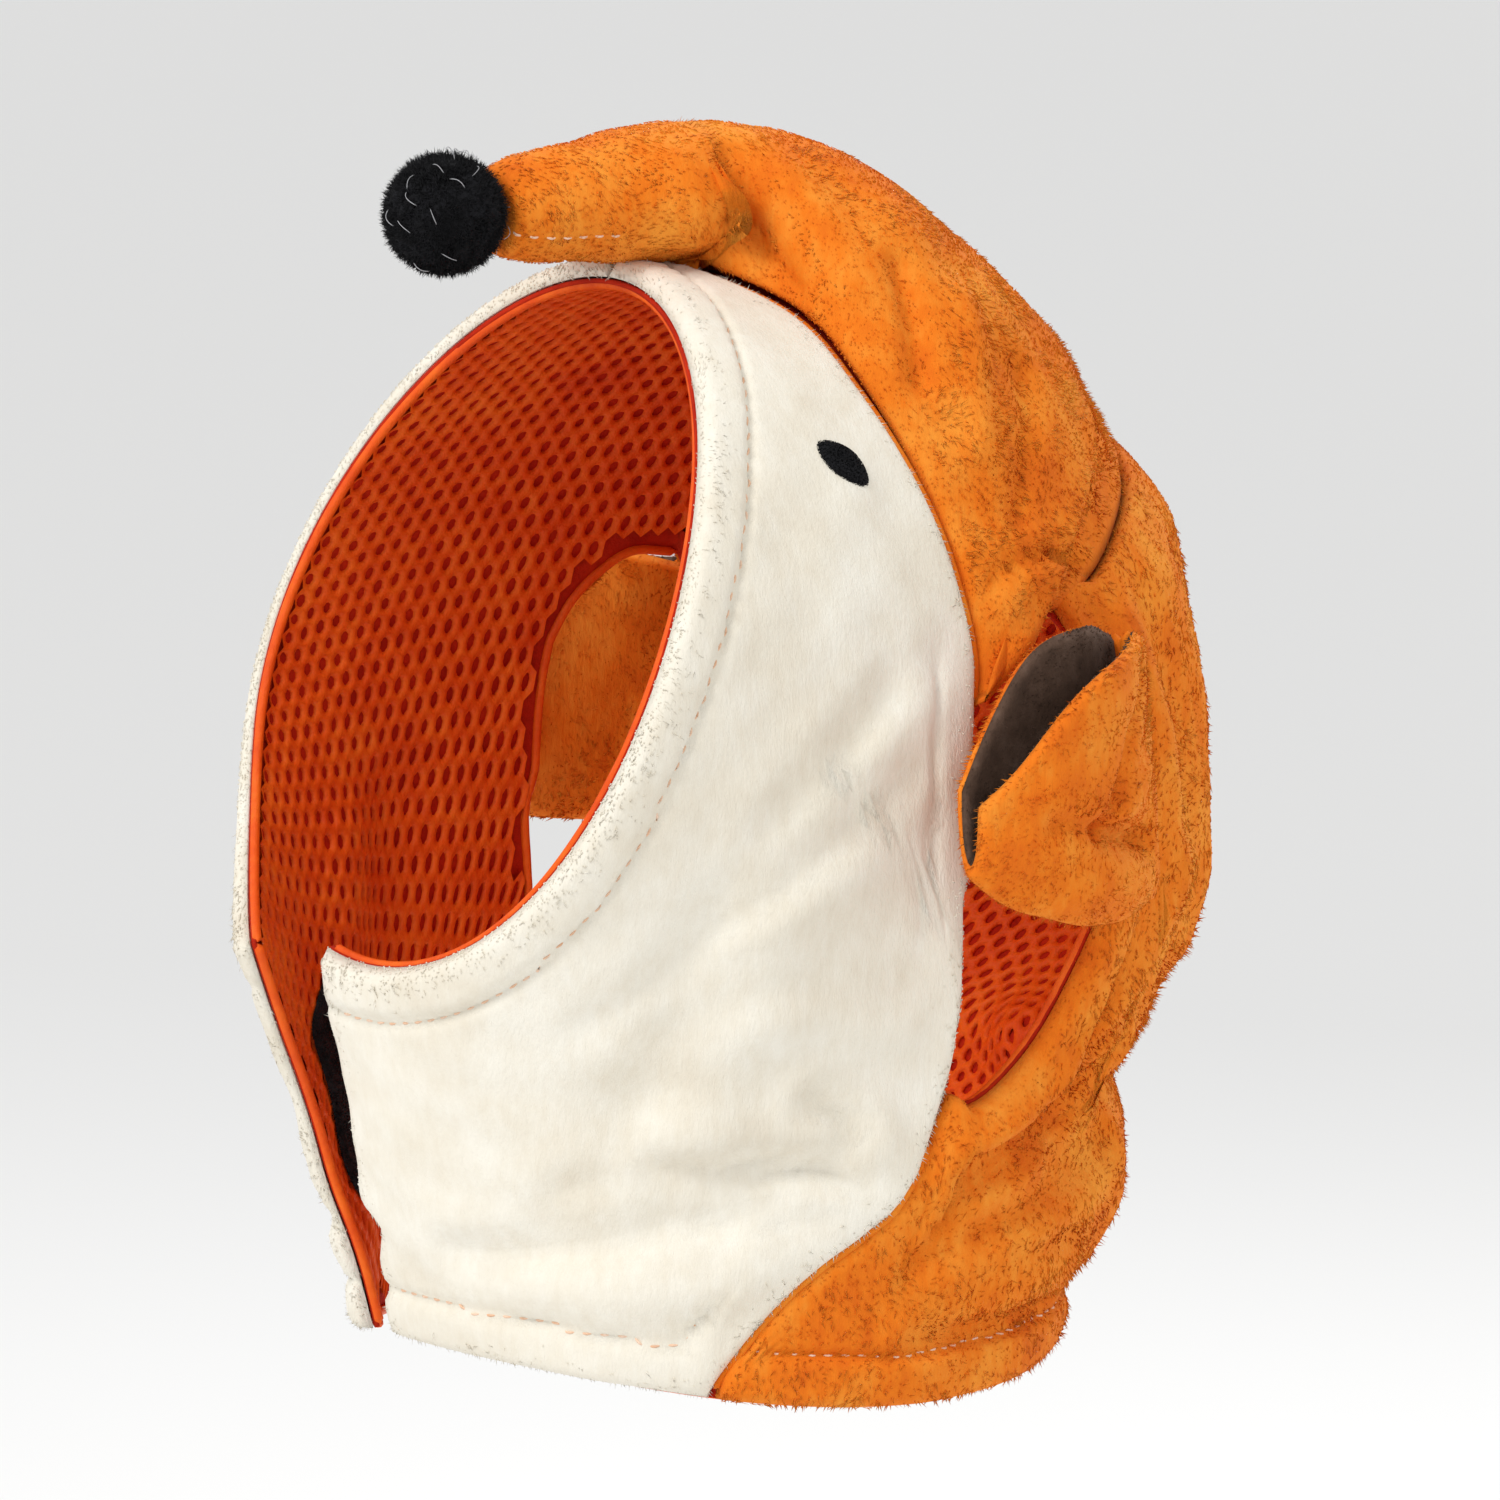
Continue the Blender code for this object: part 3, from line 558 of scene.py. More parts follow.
def pile(name, outer, material, sizes, lean, seed, dense=None):
    """Short pile over a grid, that leans one way in drifts; dense says where there is more."""
    count, length, width, lie = sizes
    draw = np.random.default_rng(seed)
    a, b = outer[:-1, :-1], outer[1:, :-1]
    c, d = outer[1:, 1:], outer[:-1, 1:]
    normal = unit(np.cross(b - a, d - a) + np.cross(c - b, c - d))
    weight = np.linalg.norm(np.cross(c - a, d - b), axis=-1)
    if dense is not None:
        weight = weight * dense[:-1, :-1]
    weight = weight.ravel()
    cells = draw.choice(weight.size, size=count, p=weight / weight.sum())
    s, t = draw.random((2, count, 1))
    a, b, c, d = (corner.reshape(-1, 3)[cells] for corner in (a, b, c, d))
    root = a * (1 - s) * (1 - t) + b * s * (1 - t) + c * s * t + d * (1 - s) * t
    out = normal.reshape(-1, 3)[cells]
    drift = stack(*(ripple(root, DRIFT_SIZE, seed + i) for i in (1, 2, 3)))
    way = lean + DRIFT_SHARE * drift + draw.normal(scale=STRAY, size=out.shape)
    return spikes(name, root, out, way, length, width, lie, material, draw)


# Turned bands, rolled edges and stitches
BAND = 0.0098
BAND_HEIGHT = 0.0011
GROOVE_DEPTH = 0.0012
GROOVE_WIDTH = 0.0009
EDGE_ROLL = 0.0024
THINNEST = 0.0006
TURN = 0.0006
STITCH = 0.0024
STITCH_GAP = 0.0010
STITCH_RADIUS = 0.00026
STITCH_ARCH = 0.0005
STITCH_SUNK = 0.0003
STITCH_POINTS = 5
STITCH_SIDES = 5


def rounded_edge(distance, radius):
    """Height of a rolled edge, as a share of the full height."""
    t = np.clip(distance / radius, 0, 1)
    return np.sqrt(1 - (1 - t) ** 2)


def not_below(lift, least):
    """The lift, held above the least one with a soft turn."""
    above = lift - least
    return least + (above + np.sqrt(above ** 2 + TURN ** 2)) / 2


def turned_band(distance, width, strength):
    """Height of a turned and stitched band along an edge."""
    t = np.clip(distance / width, 0, 1)
    puff = np.sqrt(np.clip(1 - (2 * t - 1) ** 2, 0, 1)) * BAND_HEIGHT
    groove = GROOVE_DEPTH * bell(distance - width, GROOVE_WIDTH)
    return (puff * (distance < width) - groove) * strength


def stitches(name, paths):
    """Short threads end to end along each path, that dip in at their ends."""
    arch = np.sin(np.linspace(0, math.pi, STITCH_POINTS))
    threads = []
    for path, out in paths:
        steps = np.linalg.norm(np.diff(path, axis=0), axis=1)
        reach = np.concatenate([[0.0], np.cumsum(steps)])
        for start in np.arange(STITCH_GAP, reach[-1] - STITCH, STITCH + STITCH_GAP):
            at = start + np.linspace(0, STITCH, STITCH_POINTS)
            points = np.stack([np.interp(at, reach, path[:, i]) for i in range(3)], axis=1)
            rise = np.stack([np.interp(at, reach, out[:, i]) for i in range(3)], axis=1)
            points = points + rise * (arch * STITCH_ARCH - STITCH_SUNK)[:, None]
            threads.append(tube_along(points, STITCH_RADIUS * (0.5 + 0.5 * arch), STITCH_SIDES))
    verts, faces = joined(threads)
    return new_object(name, verts, faces, THREAD)


def along_edge(outer, normal, distance, width, columns):
    """The line over a grid that runs at one distance from an edge, and the way out there."""
    row = np.argmin(np.abs(distance - width), axis=0)[columns]
    return outer[row, columns], normal[row, columns]


# Finer folds of each cheek and of the back, found on the photo
# angle_1, share_1, angle_2, share_2, depth_mm, width_mm
CHEEK_FOLDS = [
    [94, 0.290, 72, 0.263, -0.8, 3.5],
    [96, 0.330, 80, 0.300, 0.7, 4.0],
    [88, 0.363, 69, 0.327, -1.0, 3.2],
    [69, 0.327, 52, 0.293, -0.7, 3.6],
    [78, 0.395, 60, 0.350, 0.8, 4.5],
    [65, 0.310, 40, 0.287, -0.6, 3.2],
    [73, 0.767, 64, 0.723, -1.2, 2.6],
    [64, 0.723, 43, 0.627, -1.2, 2.8],
    [43, 0.627, 30, 0.610, -0.7, 3.2],
    [70, 0.700, 46, 0.585, 0.9, 4.2],
    [66, 0.783, 50, 0.747, -1.0, 2.8],
    [50, 0.747, 11, 0.737, -0.8, 3.4],
    [60, 0.840, 24, 0.820, 0.7, 4.5],
    [69, 0.690, 62, 0.620, -1.2, 2.4],
    [74, 0.600, 58, 0.470, 0.6, 5.0],
]
BACK_FOLDS = [
    [82, 0.760, 103, 0.735, 1.6, 3.6],
    [103, 0.735, 125, 0.665, 1.4, 4.0],
    [86, 0.785, 119, 0.755, -1.8, 2.2],
    [90, 0.812, 119, 0.795, 1.4, 3.2],
    [92, 0.842, 124, 0.835, -1.6, 2.4],
    [81, 0.850, 99, 0.842, -0.9, 3.0],
    [99, 0.870, 130, 0.900, -0.9, 3.0],
    [84, 0.935, 118, 0.940, -1.0, 2.6],
    [125, 0.470, 122, 0.640, 1.2, 4.0],
    [130, 0.480, 128, 0.640, -1.0, 3.0],
    [138, 0.500, 136, 0.720, 0.7, 5.0],
    [150, 0.520, 160, 0.700, -0.6, 5.0],
]


# Fine folds and the swells beside them
MM = 0.001
FOLD_STRETCH = 1.05
SWELL_SHARE = 0.5
SWELL_AWAY = 2.0
SWELL_WIDTH = 1.2


def fine_folds(points, rows):
    """Height of the fine folds over a grid of the bare tube, each with a swell on both sides."""
    low = np.zeros(points.shape[:-1])
    high = np.zeros(points.shape[:-1])
    bare = points.copy()
    bare[..., 0] = np.abs(bare[..., 0])
    steps = np.linspace(0, 1, FINE_FOLD_POINTS)
    for angle_1, share_1, angle_2, share_2, depth, width in rows:
        line = tube(share_1 + (share_2 - share_1) * steps, angle_1 + (angle_2 - angle_1) * steps)
        away = distance_to_line(bare, line) / (width * MM * FOLD_STRETCH)
        rise = depth * MM * (bell(away, 1.0) - SWELL_SHARE * bell(away - SWELL_AWAY, SWELL_WIDTH))
        low = np.minimum(low, rise)
        high = np.maximum(high, rise)
    return low + high


# Cheeks
COLUMN_STEP = 1.5
CROWN_END = 179.9
CHEEK_ROWS = 58
CLOTH_EASE = 0.0004
CHEEK_FOLD_SCALE = 1.9
CHEEK_RIPPLE = 0.00035
CHEEK_RIPPLE_SIZE = 0.016
PUCKER = 0.00025
PUCKER_REACH = 0.004
PUCKER_TURNS = 1.9
PUCKER_DRIFT = 0.31
HEM_END = (50, 54)
CHEEK_SLOT_FOOT = (77, 82)
CHEEK_SLOT_TOP = (99, 104)
CHEEK_RING = 0.8
CHEEK_INSIDE = 0.012
FLAP_FADE = 0.004
TOP_SEAM = 0.0015
FUZZ_REACH = 0.0030
SEAM_SKIP = 3


def make_cheek(name, side, start, seed):
    """One cream cheek with turned bands, folds and pile."""
    angles = np.concatenate([np.arange(start, 180.0, COLUMN_STEP), [CROWN_END]])
    ends = np.where(angles > HEM_CORNER, trimmed(cheek_edge, angles, -1), 1.0)
    rows = graded(CHEEK_ROWS)[:, None]
    share = ends[None, :] * rows
    angle = np.broadcast_to(side * angles, share.shape)
    bare = tube(share, angle)
    base = folded(share, angle)
    normal = grid_normals(base) * side
    rim = distance_to_line(base, base[0])
    low = distance_to_line(base, base[-1])
    flap = distance_to_line(base, base[:, 0])
    size = np.abs(angle)
    hem_part = 1 - smooth(*HEM_END, size)
    slot_part = smooth(*CHEEK_SLOT_FOOT, size) * (1 - smooth(*CHEEK_SLOT_TOP, size))
    edge = np.minimum(np.minimum(rim, low), flap)
    top = distance_to_line(base, base[:, -1])
    edge_round = rounded_edge(np.minimum(edge, top + TOP_SEAM), EDGE_ROLL)
    lift = PLUSH * edge_round + CLOTH_EASE
    lift = lift + turned_band(rim, BAND, 1.0) * smooth(0, FLAP_FADE, flap)
    lift = lift + turned_band(low, BAND, hem_part + CHEEK_RING * slot_part)
    inside = smooth(0.0, CHEEK_INSIDE, np.minimum(rim, low))
    lift = lift + CHEEK_FOLD_SCALE * fine_folds(bare, CHEEK_FOLDS) * inside
    lift = lift + CHEEK_RIPPLE * ripple(bare, CHEEK_RIPPLE_SIZE, seed) * inside
    puckers = np.sin(size * PUCKER_TURNS + 2 * np.sin(size * PUCKER_DRIFT)) * bell(rim - BAND, PUCKER_REACH)
    lift = not_below(lift + PUCKER * puckers, THINNEST)
    lift[0], lift[-1], lift[:, 0], lift[:, -1] = 0.0, 0.0, 0.0, 0.0
    outer = base + normal * (LAYER_GAP + lift)[..., None]
    inner = base + normal * LAYER_GAP
    rim_columns = np.arange(SEAM_SKIP, len(angles))
    hem_columns = np.flatnonzero(angles < HEM_CORNER)[SEAM_SKIP:]
    seams = [along_edge(outer, normal, rim, BAND, rim_columns),
             along_edge(outer, normal, low, BAND, hem_columns)]
    dense = bell(edge, FUZZ_REACH)
    if side < 0:
        outer, inner, dense = outer[:, ::-1], inner[:, ::-1], dense[:, ::-1]
    verts, faces = closed_sheet(outer, inner)
    cloth = new_object(name + "_plush", verts, faces, CREAM, (name,))
    down = np.array([0.0, 0.35, -0.8])
    fuzz = pile(name + "_pile", outer, CREAM, CHEEK_PILE, down, seed, dense)
    thread = stitches(name + "_stitches", seams)
    return cloth, [fuzz, thread]


# Back panel
BACK_ROWS = 86
RING_STRENGTH = 1.9
BACK_FOLD_SCALE = 1.7
BACK_RIPPLE = 0.0006
BACK_RIPPLE_SIZE = 0.022
BACK_SLOT_FOOT = (79, 84)
BACK_SLOT_TOP = (116, 122)
BACK_INSIDE = 0.010
LAST_START = 0.992


def make_back():
    """The orange back panel."""
    first = HEM_CORNER + COLUMN_STEP
    half = np.concatenate([[first], np.arange(first + 1, 180.0, COLUMN_STEP), [180.0]])
    angles = np.concatenate([half, 360.0 - half[-2::-1]])
    size = np.minimum(angles, 360.0 - angles)
    signed = np.where(angles > 180.0, angles - 360.0, angles)
    starts = np.minimum(trimmed(back_edge, size, 1), LAST_START)
    rows = graded(BACK_ROWS)[:, None]
    share = starts[None, :] * (1 - rows) + rows
    angle = np.broadcast_to(signed, share.shape)
    size = np.broadcast_to(size, share.shape)
    bare = tube(share, angle)
    base = folded(share, angle)
    normal = grid_normals(base)
    front = distance_to_line(base, base[0])
    hem = distance_to_line(base, base[-1])
    slot_part = smooth(*BACK_SLOT_FOOT, size) * (1 - smooth(*BACK_SLOT_TOP, size))
    lift = PLUSH * rounded_edge(np.minimum(front, hem), EDGE_ROLL) + CLOTH_EASE
    lift = lift + turned_band(hem, BAND, 1.0) + turned_band(front, BAND, RING_STRENGTH * slot_part)
    inside = smooth(0.0, BACK_INSIDE, np.minimum(front, hem))
    lift = lift + BACK_FOLD_SCALE * fine_folds(bare, BACK_FOLDS) * inside
    wave = BACK_RIPPLE * ripple(bare, BACK_RIPPLE_SIZE, BACK_RIPPLE_SEED)
    lift = not_below(lift + wave * inside, THINNEST)
    lift[0], lift[-1], lift[:, 0], lift[:, -1] = 0.0, 0.0, 0.0, 0.0
    outer = base + normal * (LAYER_GAP + lift)[..., None]
    inner = base + normal * LAYER_GAP
    seams = [along_edge(outer, normal, hem, BAND, np.arange(SEAM_SKIP, len(angles) - SEAM_SKIP))]
    verts, faces = closed_sheet(outer, inner)
    cloth = new_object("back_panel_plush", verts, faces, ORANGE, ("back_panel",))
    down = np.array([0.0, 0.2, -1.0])
    fuzz = pile("back_panel_pile", outer, ORANGE, BACK_PILE, down, BACK_SEED)
    thread = stitches("back_panel_stitches", seams)
    return cloth, [fuzz, thread]


# Grid of the lining
GRID_ROWS = 241
GRID_COLUMNS = 361
GRID_SHARES = np.linspace(0, 1, GRID_ROWS)
GRID_POINTS = folded(*np.meshgrid(GRID_SHARES, np.linspace(-180, 180, GRID_COLUMNS), indexing="ij"))
GRID_NORMALS = grid_normals(GRID_POINTS)


def read_grid(grid, row, column):
    """Values between the points of a grid."""
    rows, columns = grid.shape[:2]
    r = np.clip(np.floor(row).astype(int), 0, rows - 2)
    c = np.clip(np.floor(column).astype(int), 0, columns - 2)
    down, along = row - r, column - c
    if grid.ndim > 2:
        down, along = down[..., None], along[..., None]
    upper = grid[r, c] * (1 - along) + grid[r, c + 1] * along
    lower = grid[r + 1, c] * (1 - along) + grid[r + 1, c + 1] * along
    return upper * (1 - down) + lower * down


def on_hood(share, angle, lift):
    """Points over the folded tube, and the directions out of it."""
    share, angle = np.broadcast_arrays(np.asarray(share, float), np.asarray(angle, float))
    row = np.clip(share, 0, 1) * (GRID_ROWS - 1)
    column = (angle + 180.0) / 360.0 * (GRID_COLUMNS - 1)
    out = unit(read_grid(GRID_NORMALS, row, column))
    return read_grid(GRID_POINTS, row, column) + out * np.asarray(lift, float)[..., None], out


def thick_sheet(outer, inner, kept):
    """Points and quads of a sheet with walls round each opening."""
    rows, columns = outer.shape[:2]
    count = rows * columns
    index = np.arange(count).reshape(rows, columns)
    a, b = index[:-1, :-1], index[1:, :-1]
    c, d = index[1:, 1:], index[:-1, 1:]
    top = np.stack([a, b, c, d], axis=-1)[kept]
    ring = np.pad(kept, 1)
    walls = []
    for first, last, beyond in ((a, b, ring[1:-1, :-2]), (b, c, ring[2:, 1:-1]),
                                (c, d, ring[1:-1, 2:]), (d, a, ring[:-2, 1:-1])):
        open_side = kept & ~beyond
        p, q = first[open_side], last[open_side]
        walls.append(np.stack([q, p, p + count, q + count], axis=-1))
    faces = np.concatenate([top, top[:, ::-1] + count, *walls])
    verts = np.concatenate([outer.reshape(-1, 3), inner.reshape(-1, 3)])
    used, compact = np.unique(faces, return_inverse=True)
    return verts[used], compact.reshape(faces.shape)


def wrapped(angles):
    """Angles past the crown as negative angles of the right side."""
    return np.where(angles > 180.0, angles - 360.0, angles)


def band(first, last, rows):
    """Shares in even rows from one edge to another, for each angle."""
    steps = np.linspace(0, 1, rows + 1)[:, None]
    return first[None, :] * (1 - steps) + last[None, :] * steps


# Backing, net and binding of the lining
NET_BACK = 0.0010
NET_FRONT = 0.0019
NET_HEIGHT = 0.0036
NET_STEP = 3.4
NET_ZIG = 6
NET_TABLE = 0.001
PAST_HEM = 1.2
NET_START = 0.0016
NET_INSET = 0.4
NET_END = 0.992
NET_SLOT_MARGIN = 0.010
NET_UNEVEN = 0.00008
NET_SHIFT = 0.03
HOLE_WIDTH = 0.31
HOLE_HEIGHT = 0.34
HOLE_SIZES = (0.86, 1.12)
HOLE_LIP = 0.00025
HOLE_FOOT = 0.00015
HOLE_CORNERS = 8
BACKING_COLUMNS = 173
BACKING_EASE = 0.0001
UPPER_ROWS = 30
MIDDLE_ROWS = 6
LOWER_ROWS = 40
LEAST_ROW = 1e-4
BINDING_RADIUS = 0.00095
BINDING_LIFT = -0.00115
BINDING_INSET = 0.004
BINDING_TURN = 0.3
BINDING_POINTS = 90
SLOT_POINTS = 50
TUBE_END = 0.05


def in_slot(angle, share, margin):
    """Whether a place lies in an ear slot, or within a margin of it."""
    size = np.abs(angle)
    beside = (size > SLOT_BOTTOM - 1) & (size < SLOT_TOP + 1)
    return beside & (share > crown_edge(size) - margin) & (share < back_edge(size) + margin)


def make_backing():
    """The closed inner layer of the lining, behind the net. Its red is darker than the net's: the layer's
    own colour with painted shade of the holes in the net.
    """
    angles = np.linspace(NEAR_FLAP_END, 360.0 + FAR_FLAP_END, BACKING_COLUMNS)
    around = wrapped(angles)
    size = np.abs(around)
    ends = np.where(size > HEM_CORNER, cheek_edge(size), 1.0)
    crowns = np.where(size > HEM_CORNER, crown_edge(size), 1.0)
    backs = np.where(size > HEM_CORNER, back_edge(size), 1.0)
    upper = band(np.zeros(len(angles)), ends, UPPER_ROWS)
    middle = band(ends, crowns, MIDDLE_ROWS)[1:]
    lower = band(backs, np.ones(len(angles)), LOWER_ROWS)
    share = np.concatenate([upper, middle, lower])
    place = (share, np.broadcast_to(around, share.shape))
    outer = on_hood(*place, np.full(share.shape, -BACKING_EASE))[0]
    inner = on_hood(*place, np.full(share.shape, -NET_BACK))[0]
    middles = (size[:-1] + size[1:]) / 2
    height = np.diff(share, axis=0)
    kept = (height[:, :-1] > LEAST_ROW) | (height[:, 1:] > LEAST_ROW)
    kept[len(upper) + len(middle) - 1] = (middles < SLOT_BOTTOM) | (middles > SLOT_TOP)
    verts, faces = thick_sheet(outer, inner, kept)
    return new_object("lining_backing", verts, faces, SHADED_BACKING, ("lining",))


def make_net():
    """The knitted net of the lining, with its holes cut through."""
    draw = np.random.default_rng(NET_SEED)
    runs = np.linalg.norm(np.diff(GRID_POINTS, axis=0), axis=-1)
    reach = np.concatenate([np.zeros((1, GRID_COLUMNS)), np.cumsum(runs, axis=0)])
    deepest = reach[-1].max()
    table = np.arange(0, deepest + 2 * NET_TABLE, NET_TABLE)
    share_at = np.stack([np.interp(table, reach[:, c], GRID_SHARES, right=PAST_HEM)
                         for c in range(GRID_COLUMNS)], axis=1)
    rows = int(deepest / NET_HEIGHT) + 1
    columns = int((360.0 + FAR_FLAP_END - NEAR_FLAP_END) / NET_STEP)
    start = NEAR_FLAP_END + NET_INSET

    def place(down, across, lift):
        angle = wrapped(start + across * NET_STEP)
        distance = NET_START + down * NET_HEIGHT
        column = (angle + 180.0) / 360.0 * (GRID_COLUMNS - 1)
        share = read_grid(share_at, distance / NET_TABLE, column)
        return share, angle, on_hood(share, angle, lift)[0]

    line, half = np.meshgrid(np.arange(rows + 1), np.arange(2 * columns + 3), indexing="ij")
    zig = np.where((half - line) % 2 == 0, 1, -1) / NET_ZIG
    level = NET_FRONT + draw.normal(scale=NET_UNEVEN, size=line.shape)
    share_l, angle_l, points_l = place(line + zig, half / 2, -level)
    mid, half_m = np.meshgrid(np.arange(rows), np.arange(2 * columns + 3), indexing="ij")
    points_m = place(mid + 0.5, half_m / 2, np.full(mid.shape, -NET_FRONT))[2]
    row, column = np.meshgrid(np.arange(rows), np.arange(columns), indexing="ij")
    turn = np.arange(HOLE_CORNERS) * 2 * math.pi / HOLE_CORNERS
    wide = HOLE_WIDTH * draw.uniform(*HOLE_SIZES, row.shape)[..., None]
    tall = HOLE_HEIGHT * draw.uniform(*HOLE_SIZES, row.shape)[..., None]
    stray = draw.normal(scale=NET_SHIFT, size=(*row.shape, 1))
    centre = column[..., None] + (row[..., None] % 2) / 2 + 0.5 + stray
    down = row[..., None] + 0.5 - np.cos(turn) * tall
    across = centre + np.sin(turn) * wide
    ring = place(down, across, np.full(down.shape, HOLE_LIP - NET_FRONT))[2]
    deep = place(down, across, np.full(down.shape, HOLE_FOOT - NET_BACK))[2]

    base_m = line.size
    base_r = base_m + mid.size
    base_d = base_r + ring.shape[0] * ring.shape[1] * HOLE_CORNERS
    left = 2 * column + row % 2
    wide_l = line.shape[1]

    def on_line(which, shift):
        return which * wide_l + left + shift

    outline = [on_line(row, 1), on_line(row, 2), base_m + row * wide_l + left + 2, on_line(row + 1, 2),
               on_line(row + 1, 1), on_line(row + 1, 0), base_m + row * wide_l + left, on_line(row, 0)]
    spots = [(row, left), (row, left + 2), (row + 1, left), (row + 1, left + 2)]
    corners = [share_l[spot] for spot in spots]
    angles = [angle_l[spot] for spot in spots]
    kept = np.max(corners, axis=0) < NET_END
    kept &= left + 2 < wide_l - 2
    for share, angle in zip(corners, angles):
        kept &= ~in_slot(angle, share, NET_SLOT_MARGIN)
    cell = row * columns + column
    quads = []
    for i in range(HOLE_CORNERS):
        j = (i + 1) % HOLE_CORNERS
        r_i, r_j = base_r + cell * HOLE_CORNERS + i, base_r + cell * HOLE_CORNERS + j
        d_i, d_j = base_d + cell * HOLE_CORNERS + i, base_d + cell * HOLE_CORNERS + j
        quads.append(np.stack([outline[i], outline[j], r_j, r_i], axis=-1)[kept])
        quads.append(np.stack([r_i, r_j, d_j, d_i], axis=-1)[kept])
    faces = np.concatenate(quads)
    verts = np.concatenate([points_l.reshape(-1, 3), points_m.reshape(-1, 3), ring.reshape(-1, 3),
                            deep.reshape(-1, 3)])
    used, compact = np.unique(faces, return_inverse=True)
    quads = compact.reshape(faces.shape)
    return new_object("lining_net", verts[used], quads, WEB, ("lining",))


def tube_along(path, radius, sides=8):
    """Points and quads of a closed tube along a path."""
    along = unit(np.gradient(path, axis=0))
    helper = np.array([0.31, 0.17, 0.93])
    first = unit(np.cross(along, helper))
    second = np.cross(along, first)
    turn = np.arange(sides) * 2 * math.pi / sides
    radius = np.broadcast_to(radius, (len(path),)).copy()
    radius[[0, -1]] *= TUBE_END
    ring = path[:, None] + radius[:, None, None] * (
        first[:, None] * np.cos(turn)[None, :, None] + second[:, None] * np.sin(turn)[None, :, None])
    index = np.arange(len(path) * sides).reshape(len(path), sides)
    after = np.roll(index, -1, axis=1)
    faces = np.stack([index[:-1], after[:-1], after[1:], index[1:]], axis=-1).reshape(-1, 4)
    return ring.reshape(-1, 3), faces


def joined(parts):
    """Points and faces of several meshes as one."""
    shift, verts, faces = 0, [], []
    for points, quads in parts:
        verts.append(points)
        faces.append(quads + shift)
        shift += len(points)
    return np.concatenate(verts), np.concatenate(faces)


def make_binding():
    """The turned edge of the lining along the rim, hem, flaps and slots."""
    first = NEAR_FLAP_END + BINDING_TURN
    last = FAR_FLAP_END - BINDING_TURN
    around = wrapped(np.arange(first, 360.0 + last, 1.0))
    down = np.linspace(BINDING_INSET, 1 - BINDING_INSET, BINDING_POINTS)
    paths = [(np.full(around.shape, share), around) for share in (down[0], down[-1])]
    paths += [(down, np.full(down.shape, angle)) for angle in (first, last)]
    sizes = np.linspace(SLOT_BOTTOM, SLOT_TOP, SLOT_POINTS)
    for side in (1, -1):
        paths.append((crown_edge(sizes) - BINDING_INSET, side * sizes))
        paths.append((back_edge(sizes) + BINDING_INSET, side * sizes))
    tubes = []
    for share, angle in paths:
        lift = np.full(share.shape, BINDING_LIFT)
        tubes.append(tube_along(on_hood(share, angle, lift)[0], BINDING_RADIUS))
    verts, faces = joined(tubes)
    return new_object("lining_binding", verts, faces, WEB)


# Roll along the seam of cheeks and back panel
SEAM_LIFT = 0.0011
SEAM_RADIUS = 0.0010
SEAM_SHIFT = 0.001
SEAM_POINTS = 80
SEAM_SIDES = 6
SEAM_END = 179.5


def make_seam_roll():
    """A thin roll of orange plush in the seam beside the cream."""
    tubes = []
    for side in (1, -1):
        for first, last in ((HEM_CORNER + 1, SLOT_BOTTOM - 1), (CROWN_SEAM_START, SEAM_END)):
            angles = np.linspace(first, last, SEAM_POINTS)
            share = cheek_edge(angles) + SEAM_SHIFT
            path = on_hood(share, side * angles, np.full(SEAM_POINTS, SEAM_LIFT))[0]
            tubes.append(tube_along(path, SEAM_RADIUS, SEAM_SIDES))
    verts, faces = joined(tubes)
    return new_object("plush_seam", verts, faces, ORANGE)


def nose_start():
    """The snout's own origin: over the crown line, at the nose."""
    crown = tube(0.0, 180.0)
    return np.array([0.0, crown[1] - NOSE_AHEAD * SNOUT_LENGTH, crown[2]])


def snout_foot(mark):
    """Angle and share where an arch of the snout stands."""
    on_cheek = mark >= CROWN_SEAM_START
    angle = np.where(on_cheek, mark, 2 * CROWN_SEAM_START - mark)
    share = np.where(on_cheek, trimmed(cheek_edge, angle, 1), trimmed(crown_edge, angle, -1))
    return angle, share


def snout_arch(mark, across):
    """One arch of the snout's base, over the hood, from foot to foot."""
    ridge, swell, fullness = spline(SNOUT_ARCHES[:, 0], SNOUT_ARCHES[:, 1:], np.array(mark))
    foot_angle, foot_share = snout_foot(np.array(mark))
    size = np.abs(across)
    angle = 180.0 - (180.0 - foot_angle) * size
    share = ridge + (foot_share - ridge) * size ** ARCH_BEND
    if mark <= 2 * CROWN_SEAM_START - SLOT_TOP:
        share = trimmed(crown_edge, angle, -1)
    lift = swell * SNOUT_RISE * (1 - size ** fullness)
    points = hood(share, angle, LAYER_GAP + PLUSH + SNOUT_EASE + lift)
    points[:, 0] *= np.where(across < 0, -1, 1)
    return points


